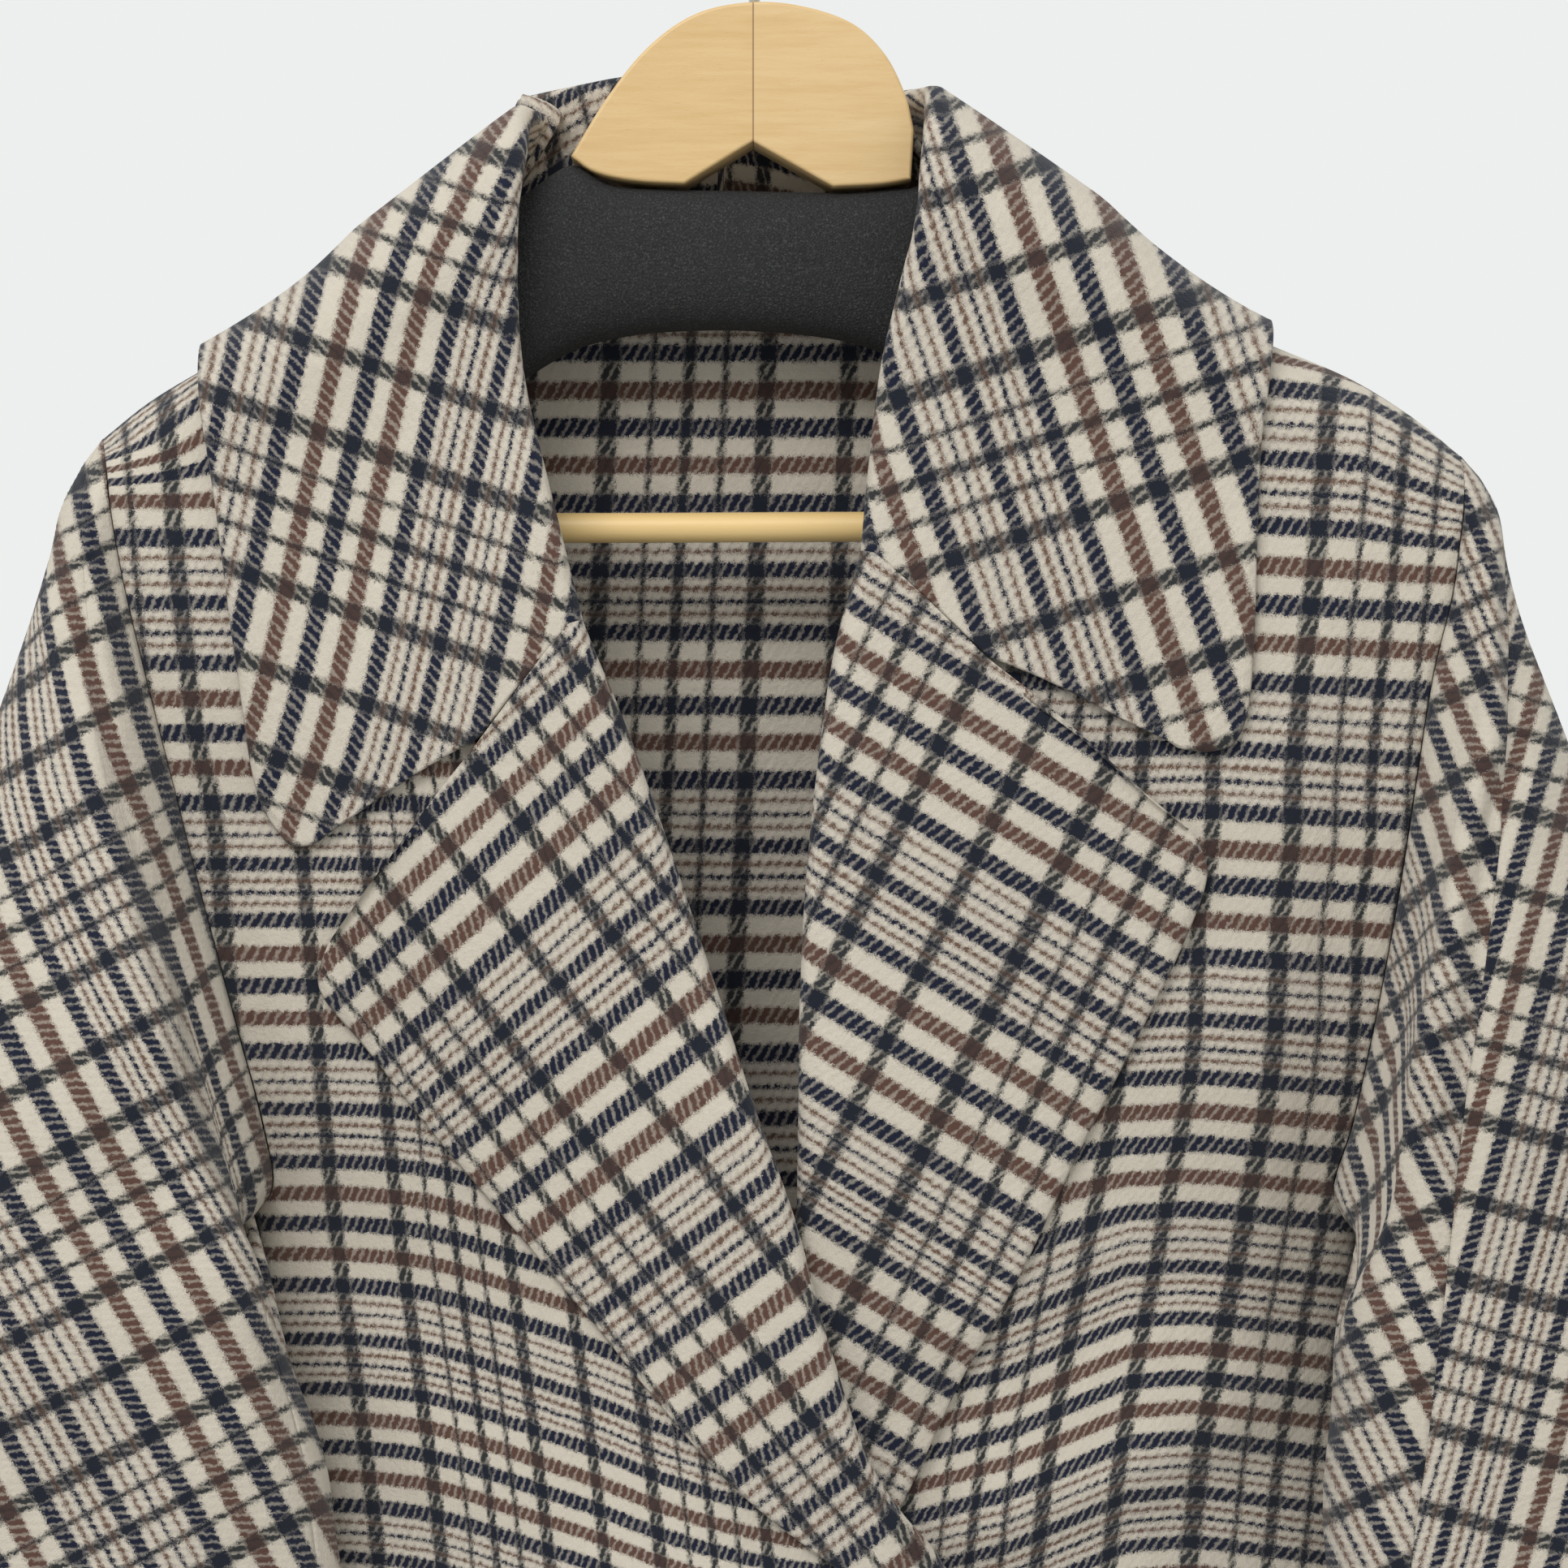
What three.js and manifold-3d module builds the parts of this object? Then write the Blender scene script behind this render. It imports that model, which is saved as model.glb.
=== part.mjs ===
// Cocoon coat in napped wool check, hanging open-necked on a padded wooden hanger.
// Millimetres, +Z up, +X to the viewer's right, the coat's front faces -Y.
// The origin is the inner top of the hook, where the rail carries it.
import * as THREE from 'three';
import * as BufferGeometryUtils from 'three/addons/utils/BufferGeometryUtils.js';
import Module from 'manifold-3d';

const wasm = await Module();
wasm.setup();

// Cloth and seams
const CLOTH = 2.6;
const SEAM = 0.3;
const ROLL_INSIDE = 2.2;
const ROLL_OUTSIDE = ROLL_INSIDE + CLOTH;
const ROLL_EASE = 1.5;
const LIE = 1.7;
const SHOULDER_LIE = 4;
const SHOULDER_LIE_REACH = 62;

// Body of the coat
const CENTRE = 15;
const SHOULDER_ROUND = 30;
const QUARTER = SHOULDER_ROUND * Math.PI / 2;
const SIDE_POWER = 2.5;
const HEM = -1060;
const HEM_WAVE = 4;
const HEM_WAVE_PITCH = 130;
const BACK_ARMHOLE_OUT = 14;
const BACK_UNDERARM_OUT = 12;
const COLUMNS = 10;
const FALL_COLUMNS = 9;
const NOTCH_COLUMN = 3;

// Overlap of the left front, which lies over the right front and its lapel down to LAPEL_END
const OVERLAP_LIFT = 12.6;
const OVERLAP_LOW_LIFT = 6;
const OVERLAP_EASE = 55;
const OVERLAP_INSIDE = 14;
const OVERLAP_START = 405;
const OVERLAP_FULL = 462;
const LAPEL_END = 700;
const LAPEL_END_EASE = 80;

// Hanger
const HEAD_DEPTH = 22;
const ARM_HALF_DEPTH = 17;
const ARM_POWER = 0.8;
const BAR_RADIUS = 5.2;
const BAR_Z = -252;
const BAR_LEFT = -178;
const BAR_RIGHT = 184;
const WIRE_RADIUS = 2;
const HOOK_RADIUS = 24;
const HEAD_TOP = -72;

// Shoulder ridge from tip to tip; between the neck points it is the line the neck would have
const RIDGE = [
  { x: -224, z: -221 },
  { x: -209, z: -209 },
  { x: -190, z: -197.5 },
  { x: -149, z: -175 },
  { x: -121, z: -155.5 },
  { x: -100, z: -142 },
  { x: -60, z: -122 },
  { x: -13, z: -112 },
  { x: 40, z: -120 },
  { x: 80, z: -137 },
  { x: 101, z: -147.5 },
  { x: 132, z: -166 },
  { x: 171, z: -186 },
  { x: 205, z: -200.5 },
  { x: 227, z: -214 },
  { x: 243, z: -227 },
];

// Level sections of the body: half width, and depth of front and back from the shoulder plane
const BODY = [
  { z: -100, half: 430, front: 30, back: 30 },
  { z: -220, half: 430, front: 34, back: 33 },
  { z: -300, half: 360, front: 42, back: 39 },
  { z: -380, half: 285, front: 48, back: 44 },
  { z: -440, half: 232, front: 53, back: 48 },
  { z: -495, half: 198, front: 56, back: 52 },
  { z: -560, half: 199, front: 60, back: 56 },
  { z: -640, half: 216, front: 64, back: 60 },
  { z: -720, half: 236, front: 68, back: 64 },
  { z: -800, half: 244, front: 70, back: 66 },
  { z: -900, half: 238, front: 68, back: 64 },
  { z: HEM, half: 205, front: 60, back: 58 },
];

// Largest folds of the front: a soft ridge or trough along a line from start to end
const FOLDS = [
  { x0: 62, z0: -590, x1: 170, z1: -548, width: 15, height: 7 },
  { x0: 44, z0: -552, x1: 146, z1: -506, width: 16, height: -3.5 },
  { x0: -140, z0: -520, x1: -30, z1: -640, width: 24, height: 4 },
  { x0: -165, z0: -470, x1: -70, z1: -560, width: 20, height: -3 },
];

// Armholes from the shoulder tip down the front to the underarm, which closes on the side seam
const ARMHOLE_LEFT = [
  { x: -224, z: -221 },
  { x: -223, z: -223.5 },
  { x: -221, z: -229 },
  { x: -219, z: -238 },
  { x: -217, z: -251 },
  { x: -213, z: -272 },
  { x: -206, z: -301 },
  { x: -196, z: -340 },
  { x: -186, z: -380 },
  { x: -175, z: -421 },
  { x: -166, z: -456 },
  { x: -164, z: -480 },
  { x: CENTRE - 198, z: -494 },
];
const ARMHOLE_RIGHT = [
  { x: 243, z: -227 },
  { x: 242.5, z: -229.5 },
  { x: 242, z: -235 },
  { x: 241, z: -244 },
  { x: 239, z: -257 },
  { x: 236, z: -277 },
  { x: 229, z: -305 },
  { x: 223, z: -342 },
  { x: 217, z: -381 },
  { x: 210, z: -421 },
  { x: 203, z: -456 },
  { x: 197, z: -481 },
  { x: CENTRE + 198, z: -494 },
];
const UNDERARM = ARMHOLE_LEFT.length - 1;

// Levels of the side seam below the underarm
const SIDE_LEVELS = [-528, -566, -602, -640, -690, -745, -800, -855, -910, -965, -1015, HEM];
const ROWS = UNDERARM + SIDE_LEVELS.length;

// Inner edges of the fronts: neck seam, roll line from the gorge, then the front edge
const EDGE_LEFT = [
  { x: -100, z: -142 },
  { x: -99.5, z: -145 },
  { x: -98, z: -152 },
  { x: -95, z: -163 },
  { x: -92, z: -178 },
  { x: -87, z: -206 },
  { x: -79, z: -242 },
  { x: -63.5, z: -288 },
  { x: -49.5, z: -322 },
  { x: -35, z: -362 },
  { x: -21.5, z: -402 },
  { x: -7.5, z: -444 },
  { x: 7.5, z: -486 },
  { x: 19, z: -528 },
  { x: 34, z: -570 },
  { x: 60, z: -604 },
  { x: 88, z: -636 },
  { x: 93, z: -690 },
  { x: 93, z: -745 },
  { x: 93, z: -800 },
  { x: 92, z: -855 },
  { x: 91, z: -910 },
  { x: 90, z: -965 },
  { x: 88, z: -1015 },
  { x: 86, z: HEM },
];
const EDGE_RIGHT = [
  { x: 80, z: -137 },
  { x: 79.5, z: -140.5 },
  { x: 77, z: -149 },
  { x: 72.5, z: -160 },
  { x: 66, z: -175 },
  { x: 57, z: -203 },
  { x: 49, z: -234 },
  { x: 42.5, z: -264 },
  { x: 33.5, z: -298 },
  { x: 28, z: -335 },
  { x: 24, z: -374 },
  { x: 22, z: -415 },
  { x: 21.5, z: -458 },
  { x: 20, z: -502 },
  { x: 14, z: -545 },
  { x: 4, z: -592 },
  { x: -12, z: -640 },
  { x: -40, z: -690 },
  { x: -56, z: -745 },
  { x: -58, z: -800 },
  { x: -58, z: -855 },
  { x: -57, z: -910 },
  { x: -56, z: -965 },
  { x: -54, z: -1015 },
  { x: -52, z: HEM },
];
const GORGE = 7;

// Free edges of the lapels, row by row from the upper corner to the break of the roll
const LAPEL_LEFT = {
  notch: { x: -93, z: -329 },
  edge: [
    { x: -145, z: -398 },
    { x: -144, z: -411 },
    { x: -129, z: -429 },
    { x: -108, z: -455 },
    { x: -85, z: -482 },
    { x: -60, z: -511 },
    { x: -32, z: -543 },
    { x: 0, z: -577 },
    { x: 42, z: -609 },
    { x: 81, z: -641 },
  ],
};
const LAPEL_RIGHT = {
  notch: { x: 79, z: -302 },
  edge: [
    { x: 152, z: -361 },
    { x: 150, z: -377 },
    { x: 138, z: -405 },
    { x: 122, z: -436 },
    { x: 106, z: -467 },
    { x: 90, z: -500 },
    { x: 73, z: -531 },
    { x: 56, z: -563 },
    { x: 38, z: -602 },
    { x: 12, z: -650 },
    { x: -31, z: -697 },
  ],
};

// Collar stations: stand length and lean in degrees, and the free edge of the fall.
// The front stations follow the neck seam from the gorge up to the shoulder, the back ones round the neck.
const COLLAR_LEFT = [
  { stand: ROLL_EASE, lean: 0, x: -153, z: -364 },
  { stand: 5.5, lean: 3, x: -166, z: -344 },
  { stand: 5.5, lean: 6, x: -173, z: -304 },
  { stand: 8.5, lean: 10, x: -178, z: -269 },
  { stand: 13, lean: 14, x: -181, z: -247 },
  { stand: 21, lean: 18, x: -184, z: -228 },
  { stand: 30, lean: 22, x: -186, z: -212 },
  { stand: 38, lean: 26, x: -187, z: -196 },
];
const COLLAR_RIGHT = [
  { stand: ROLL_EASE, lean: 0, x: 156, z: -334 },
  { stand: 5.5, lean: 3, x: 165, z: -318 },
  { stand: 10, lean: 6, x: 168, z: -288 },
  { stand: 13, lean: 10, x: 169, z: -262 },
  { stand: 17, lean: 16, x: 170, z: -242 },
  { stand: 23, lean: 23, x: 171, z: -222 },
  { stand: 29, lean: 29, x: 173, z: -205 },
  { stand: 34, lean: 34, x: 175, z: -188 },
];
const COLLAR_BACK = [
  { neck: -98, girth: 9, stand: 39.5, lean: 25, x: -186, z: -203 },
  { neck: -94, girth: 18, stand: 41, lean: 22, x: -181, z: -213 },
  { neck: -86, girth: 28, stand: 42, lean: 19, x: -165, z: -221 },
  { neck: -66, girth: 37, stand: 43, lean: 14, x: -128, z: -222 },
  { neck: -40, girth: 40, stand: 43, lean: 10, x: -75, z: -219 },
  { neck: -12, girth: 41, stand: 42, lean: 8, x: -14, z: -217 },
  { neck: 16, girth: 41, stand: 42, lean: 8, x: 40, z: -217 },
  { neck: 40, girth: 39, stand: 42, lean: 12, x: 90, z: -217 },
  { neck: 60, girth: 34, stand: 41, lean: 18, x: 135, z: -215 },
  { neck: 72, girth: 25, stand: 39, lean: 24, x: 158, z: -208 },
  { neck: 78, girth: 12, stand: 36, lean: 31, x: 171, z: -196 },
];

// Sleeve sections from the armhole to the cuff: outer point, inner point and half thickness
const SLEEVE_LEFT = [
  { outX: -231, outY: -2, outZ: -230, inX: -186, inY: -29, inZ: -500, half: 46 },
  { outX: -237, outY: -6, outZ: -245, inX: -177, inY: -37, inZ: -506, half: 46 },
  { outX: -239, outY: -11, outZ: -264, inX: -168, inY: -52, inZ: -513, half: 46 },
  { outX: -246, outY: -18, outZ: -290, inX: -157, inY: -61, inZ: -525, half: 46 },
  { outX: -262, outY: -28, outZ: -335, inX: -149, inY: -65, inZ: -544, half: 45 },
  { outX: -281, outY: -38, outZ: -390, inX: -143, inY: -66, inZ: -565, half: 44 },
  { outX: -300, outY: -46, outZ: -447, inX: -138, inY: -69, inZ: -586, half: 43 },
  { outX: -321, outY: -52, outZ: -508, inX: -134, inY: -71, inZ: -609, half: 42 },
  { outX: -339, outY: -56, outZ: -562, inX: -136, inY: -73, inZ: -637, half: 41 },
  { outX: -352, outY: -59, outZ: -612, inX: -146, inY: -74, inZ: -669, half: 40 },
  { outX: -361, outY: -61, outZ: -662, inX: -166, inY: -74, inZ: -706, half: 39 },
  { outX: -368, outY: -62, outZ: -708, inX: -190, inY: -74, inZ: -750, half: 38 },
  { outX: -372, outY: -62, outZ: -752, inX: -214, inY: -73, inZ: -792, half: 37 },
];
const SLEEVE_RIGHT = [
  { outX: 250, outY: -2, outZ: -235, inX: 213.5, inY: -22, inZ: -500, half: 45 },
  { outX: 256, outY: -6, outZ: -247, inX: 208, inY: -37, inZ: -506, half: 45 },
  { outX: 259, outY: -11, outZ: -266, inX: 203, inY: -49, inZ: -513, half: 45 },
  { outX: 265, outY: -17, outZ: -291, inX: 196, inY: -54, inZ: -525, half: 45 },
  { outX: 280, outY: -26, outZ: -333, inX: 193, inY: -60, inZ: -545, half: 44 },
  { outX: 299, outY: -35, outZ: -390, inX: 191, inY: -65, inZ: -566, half: 43 },
  { outX: 316, outY: -42, outZ: -447, inX: 191, inY: -68, inZ: -588, half: 42 },
  { outX: 332, outY: -48, outZ: -500, inX: 192, inY: -70, inZ: -612, half: 41 },
  { outX: 350, outY: -52, outZ: -560, inX: 196, inY: -71, inZ: -640, half: 40 },
  { outX: 366, outY: -55, outZ: -615, inX: 203, inY: -72, inZ: -672, half: 39 },
  { outX: 379, outY: -57, outZ: -665, inX: 216, inY: -72, inZ: -706, half: 38 },
  { outX: 389, outY: -58, outZ: -708, inX: 230, inY: -71, inZ: -746, half: 37 },
  { outX: 396, outY: -58, outZ: -752, inX: 245, inY: -70, inZ: -790, half: 36 },
];
const ARMHOLE_FADE = 5;
const FRONT_FULLNESS = 0.85;
const BACK_FULLNESS = 1.5;
const SLEEVE_SEAM = 0.7;
const SLEEVE_FRONT_SEAM = 4;

// Padded hanger arms, seen from the front
const ARMS = [
  { x: -215, top: -232, bottom: -245 },
  { x: -212, top: -219, bottom: -255 },
  { x: -204, top: -210.5, bottom: -263 },
  { x: -190, top: -201.6, bottom: -267 },
  { x: -170, top: -190.4, bottom: -262 },
  { x: -149, top: -179.1, bottom: -249 },
  { x: -121, top: -160, bottom: -229 },
  { x: -100, top: -146.8, bottom: -214 },
  { x: -80, top: -137.5, bottom: -201 },
  { x: -63, top: -127, bottom: -191 },
  { x: -50, top: -133.5, bottom: -187 },
  { x: -33, top: -135.2, bottom: -184.5 },
  { x: -1, top: -136, bottom: -184 },
  { x: 31, top: -136.5, bottom: -187.5 },
  { x: 50, top: -135, bottom: -194 },
  { x: 62, top: -134.5, bottom: -200 },
  { x: 80, top: -143.5, bottom: -212 },
  { x: 101, top: -152, bottom: -225 },
  { x: 132, top: -170.2, bottom: -243 },
  { x: 171, top: -190, bottom: -263 },
  { x: 200, top: -202.2, bottom: -269 },
  { x: 219, top: -213.6, bottom: -267 },
  { x: 230, top: -227, bottom: -259 },
  { x: 233, top: -237, bottom: -249 },
];
const ARM_SIDES = 16;

// Wooden head of the hanger, seen from the front
const HEAD_DOME = [
  { x: 55, z: -116 },
  { x: 52, z: -104 },
  { x: 45, z: -90 },
  { x: 34, z: -79.5 },
  { x: 17, z: -73.5 },
  { x: -1, z: HEAD_TOP },
  { x: -20, z: -76 },
  { x: -36, z: -87 },
  { x: -50, z: -104 },
  { x: -63, z: -125 },
];
const HEAD_FOOT = [
  { x: -57, z: -129.5 },
  { x: -50, z: -132 },
  { x: -38, z: -133.8 },
  { x: -24, z: -134.5 },
  { x: -0.5, z: -120 },
  { x: 27, z: -135.5 },
  { x: 44, z: -134.6 },
  { x: 54, z: -133 },
];

// One column of a table, read at a place on another column along a smooth line through its rows
function read(table, along, column, at) {
  const rows = table[0][along] < table[table.length - 1][along] ? table : [...table].reverse();
  const last = rows.length - 1;
  if (at <= rows[0][along]) return rows[0][column];
  if (at >= rows[last][along]) return rows[last][column];
  let low = 0;
  while (at > rows[low + 1][along]) low += 1;
  const slope = (a, b) => (rows[b][column] - rows[a][column]) / (rows[b][along] - rows[a][along]);
  const span = rows[low + 1][along] - rows[low][along];
  const f = (at - rows[low][along]) / span;
  const start = slope(Math.max(low - 1, 0), low + 1) * span;
  const end = slope(low, Math.min(low + 2, last)) * span;
  const square = f * f;
  const cube = square * f;
  return (2 * cube - 3 * square + 1) * rows[low][column] + (cube - 2 * square + f) * start
    + (3 * square - 2 * cube) * rows[low + 1][column] + (cube - square) * end;
}

const mix = THREE.MathUtils.lerp;
const ease = THREE.MathUtils.smoothstep;
const ridge = (x) => read(RIDGE, 'x', 'z', x);
const blend = (a, b, f) => ({ x: mix(a.x, b.x, f), z: mix(a.z, b.z, f) });

// Girth is the signed distance over the shoulder, zero on the ridge, below zero on the front
function girthOf(x, z, side) {
  const drop = Math.max(ridge(x) - z, 0);
  if (drop > SHOULDER_ROUND) return side * (QUARTER + drop - SHOULDER_ROUND);
  return side * SHOULDER_ROUND * Math.acos(1 - drop / SHOULDER_ROUND);
}

function foldHeight(x, z) {
  let height = 0;
  for (const fold of FOLDS) {
    const run = new THREE.Vector2(fold.x1 - fold.x0, fold.z1 - fold.z0);
    const from = new THREE.Vector2(x - fold.x0, z - fold.z0);
    const f = THREE.MathUtils.clamp(from.dot(run) / run.lengthSq(), 0, 1);
    const off = from.sub(run.multiplyScalar(f)).length() / fold.width;
    height += fold.height * Math.sin(Math.PI * (0.15 + 0.7 * f)) * Math.exp(-off * off);
  }
  return height;
}

// Where the left front lies over the right one it stands off by the layers below it
function overlapLift(x, z) {
  const reach = read(EDGE_RIGHT, 'z', 'x', z) - OVERLAP_INSIDE;
  const lift = mix(OVERLAP_LIFT, OVERLAP_LOW_LIFT, ease(-z, LAPEL_END, LAPEL_END + LAPEL_END_EASE));
  return lift * ease(x, reach - OVERLAP_EASE, reach) * ease(-z, OVERLAP_START, OVERLAP_FULL);
}

// Point of the coat's outer face; over says how far this layer lies over the base face
function bodyPoint(x, girth, over) {
  const round = Math.min(Math.abs(girth), QUARTER) / SHOULDER_ROUND;
  const below = Math.max(Math.abs(girth) - QUARTER, 0);
  const z = ridge(x) - SHOULDER_ROUND * (1 - Math.cos(round)) - below;
  const off = Math.min(Math.abs(x - CENTRE) / read(BODY, 'z', 'half', z), 1);
  const side = Math.sqrt(1 - off ** SIDE_POWER);
  const front = girth < 0;
  const wave = HEM_WAVE * Math.cos(2 * Math.PI * (x - CENTRE) / HEM_WAVE_PITCH) * ease(-z, 640, -HEM);
  const fold = front ? foldHeight(x, z) + (over ? overlapLift(x, z) : 0) : 0;
  const depth = read(BODY, 'z', front ? 'front' : 'back', z) + (front ? 1 : -1) * wave * side;
  const reach = depth * side * Math.sin(round) + fold;
  return new THREE.Vector3(x, front ? -reach : reach, z);
}

function bodyNormal(x, girth, over) {
  const step = 0.5;
  const alongX = bodyPoint(x + step, girth, over).sub(bodyPoint(x - step, girth, over));
  const alongG = bodyPoint(x, girth + step, over).sub(bodyPoint(x, girth - step, over));
  return alongX.cross(alongG).normalize();
}

// Closed wall of cloth: a grid of outer points, and the way out at each of them
function wall(points, normals) {
  const rows = points.length;
  const columns = points[0].length;
  const position = [];
  const layer = rows * columns;
  for (let i = 0; i < rows; i += 1) {
    for (let j = 0; j < columns; j += 1) position.push(...points[i][j].toArray());
  }
  for (let i = 0; i < rows; i += 1) {
    for (let j = 0; j < columns; j += 1) {
      position.push(...points[i][j].clone().addScaledVector(normals[i][j], -CLOTH).toArray());
    }
  }
  const index = [];
  const quad = (a, b, c, d) => index.push(a, b, c, a, c, d);
  const at = (i, j) => i * columns + j;
  const spans = columns - 1;
  for (let i = 0; i < rows - 1; i += 1) {
    for (let j = 0; j < spans; j += 1) {
      quad(at(i, j), at(i + 1, j), at(i + 1, j + 1), at(i, j + 1));
      quad(layer + at(i, j), layer + at(i, j + 1), layer + at(i + 1, j + 1), layer + at(i + 1, j));
    }
  }
  for (let j = 0; j < spans; j += 1) {
    quad(at(0, j), at(0, j + 1), layer + at(0, j + 1), layer + at(0, j));
    quad(at(rows - 1, j + 1), at(rows - 1, j), layer + at(rows - 1, j), layer + at(rows - 1, j + 1));
  }
  for (let i = 0; i < rows - 1; i += 1) {
    quad(at(i + 1, 0), at(i, 0), layer + at(i, 0), layer + at(i + 1, 0));
    quad(at(i + 1, spans), layer + at(i + 1, spans), layer + at(i, spans), at(i, spans));
  }
  return closed(position, index);
}

// Indexed geometry whose faces point out
function closed(position, index) {
  let volume = 0;
  const corner = (n) => new THREE.Vector3().fromArray(position, index[n] * 3);
  for (let n = 0; n < index.length; n += 3) {
    volume += corner(n).dot(corner(n + 1).cross(corner(n + 2)));
  }
  if (volume < 0) {
    for (let n = 0; n < index.length; n += 3) [index[n], index[n + 1]] = [index[n + 1], index[n]];
  }
  const geometry = new THREE.BufferGeometry();
  geometry.setAttribute('position', new THREE.Float32BufferAttribute(position, 3));
  geometry.setIndex(index);
  return geometry;
}

// Outer side of a front or back at a row: armhole down to the underarm, then the side seam
function sideEdge(row, armhole, side) {
  const out = Math.sign(armhole[0].x);
  if (row > UNDERARM) {
    const z = SIDE_LEVELS[row - UNDERARM - 1];
    return { x: CENTRE + out * read(BODY, 'z', 'half', z), z };
  }
  const { x, z } = armhole[row];
  if (side < 0 || row === UNDERARM) return { x, z };
  const f = row / UNDERARM;
  const further = BACK_ARMHOLE_OUT * Math.sin(Math.PI * f) + BACK_UNDERARM_OUT * ease(f, 0.6, 0.9);
  return { x: x + out * further, z };
}

// Row of a panel between two edges: level below the chest, along the shoulder at the top
function rowPoint(row, a, b, f) {
  const x = mix(a.x, b.x, f);
  const level = mix(a.z, b.z, f);
  const sloped = level + ridge(x) - mix(ridge(a.x), ridge(b.x), f);
  return { x, z: mix(sloped, level, ease(row, 3, UNDERARM)) };
}

const sideWay = (x) => new THREE.Vector3(Math.sign(x - CENTRE), 0, 0);

// Outer point and way out of a panel at its armhole and side seam
function sideJoin(row, armhole, side) {
  const edge = sideEdge(row, armhole, side);
  if (row >= UNDERARM) {
    const x = CENTRE + Math.sign(armhole[0].x) * read(BODY, 'z', 'half', edge.z);
    return { point: new THREE.Vector3(x, side * SEAM / 2, edge.z), way: sideWay(x) };
  }
  const girth = row === 0 ? side * SEAM / 2 : girthOf(edge.x, edge.z, side);
  return { point: bodyPoint(edge.x, girth, false), way: bodyNormal(edge.x, girth, false) };
}

// Front panel from its armhole to its inner edge
function frontPanel(armhole, innerEdge, over) {
  const points = [];
  const normals = [];
  for (let row = 0; row <= ROWS; row += 1) {
    const join = sideJoin(row, armhole, -1);
    const outer = sideEdge(row, armhole, -1);
    points.push([join.point]);
    normals.push([join.way]);
    for (let column = 1; column <= COLUMNS; column += 1) {
      const even = column / COLUMNS;
      const bunched = 1 - Math.cos(Math.PI * even / 2);
      const f = mix(even, bunched, ease(row, 4, UNDERARM));
      const { x, z } = rowPoint(row, outer, innerEdge[row], f);
      const girth = Math.min(girthOf(x, z, -1), -SEAM / 2);
      points[row].push(bodyPoint(x, girth, over));
      normals[row].push(bodyNormal(x, girth, over));
    }
  }
  return wall(points, normals);
}

// Back panel: shoulder, neck and shoulder along its top
function backPanel() {
  const points = [];
  const normals = [];
  const top = [];
  for (let column = 0; column <= COLUMNS; column += 1) {
    top.push({ x: mix(ARMHOLE_LEFT[0].x, EDGE_LEFT[0].x, column / COLUMNS), girth: 0 });
  }
  for (const station of COLLAR_BACK) top.push({ x: station.neck, girth: station.girth });
  for (let column = 0; column <= COLUMNS; column += 1) {
    top.push({ x: mix(EDGE_RIGHT[0].x, ARMHOLE_RIGHT[0].x, column / COLUMNS), girth: 0 });
  }
  const last = top.length - 1;
  for (let row = 0; row <= ROWS; row += 1) {
    const left = sideEdge(row, ARMHOLE_LEFT, 1);
    const right = sideEdge(row, ARMHOLE_RIGHT, 1);
    const leftJoin = sideJoin(row, ARMHOLE_LEFT, 1);
    const rightJoin = sideJoin(row, ARMHOLE_RIGHT, 1);
    points.push([leftJoin.point]);
    normals.push([leftJoin.way]);
    for (let column = 1; column < last; column += 1) {
      const atTop = (top[column].x - top[0].x) / (top[last].x - top[0].x);
      const bunched = (1 - Math.cos(Math.PI * column / last)) / 2;
      const f = mix(atTop, bunched, ease(row, 4, UNDERARM + 2));
      const { x, z } = rowPoint(row, left, right, f);
      const plain = row === 0 ? 0 : girthOf(x, z, 1);
      const whole = girthOf(x, HEM, 1);
      const girth = Math.max(plain + top[column].girth * (1 - plain / whole) ** 2, SEAM / 2);
      points[row].push(bodyPoint(x, girth, false));
      normals[row].push(bodyNormal(x, girth, false));
    }
    points[row].push(rightJoin.point);
    normals[row].push(rightJoin.way);
  }
  return wall(points, normals);
}

// Frame on a cut edge: its point, the way out of the cloth, and the way on past the edge
function edgeFrame(before, here, after, over) {
  const at = (p) => bodyPoint(p.x, p.girth, over);
  const point = at(here);
  const normal = bodyNormal(here.x, here.girth, over);
  const along = at(after).sub(at(before));
  const past = along.cross(normal).normalize();
  return { point, normal, past, over, here };
}

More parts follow.
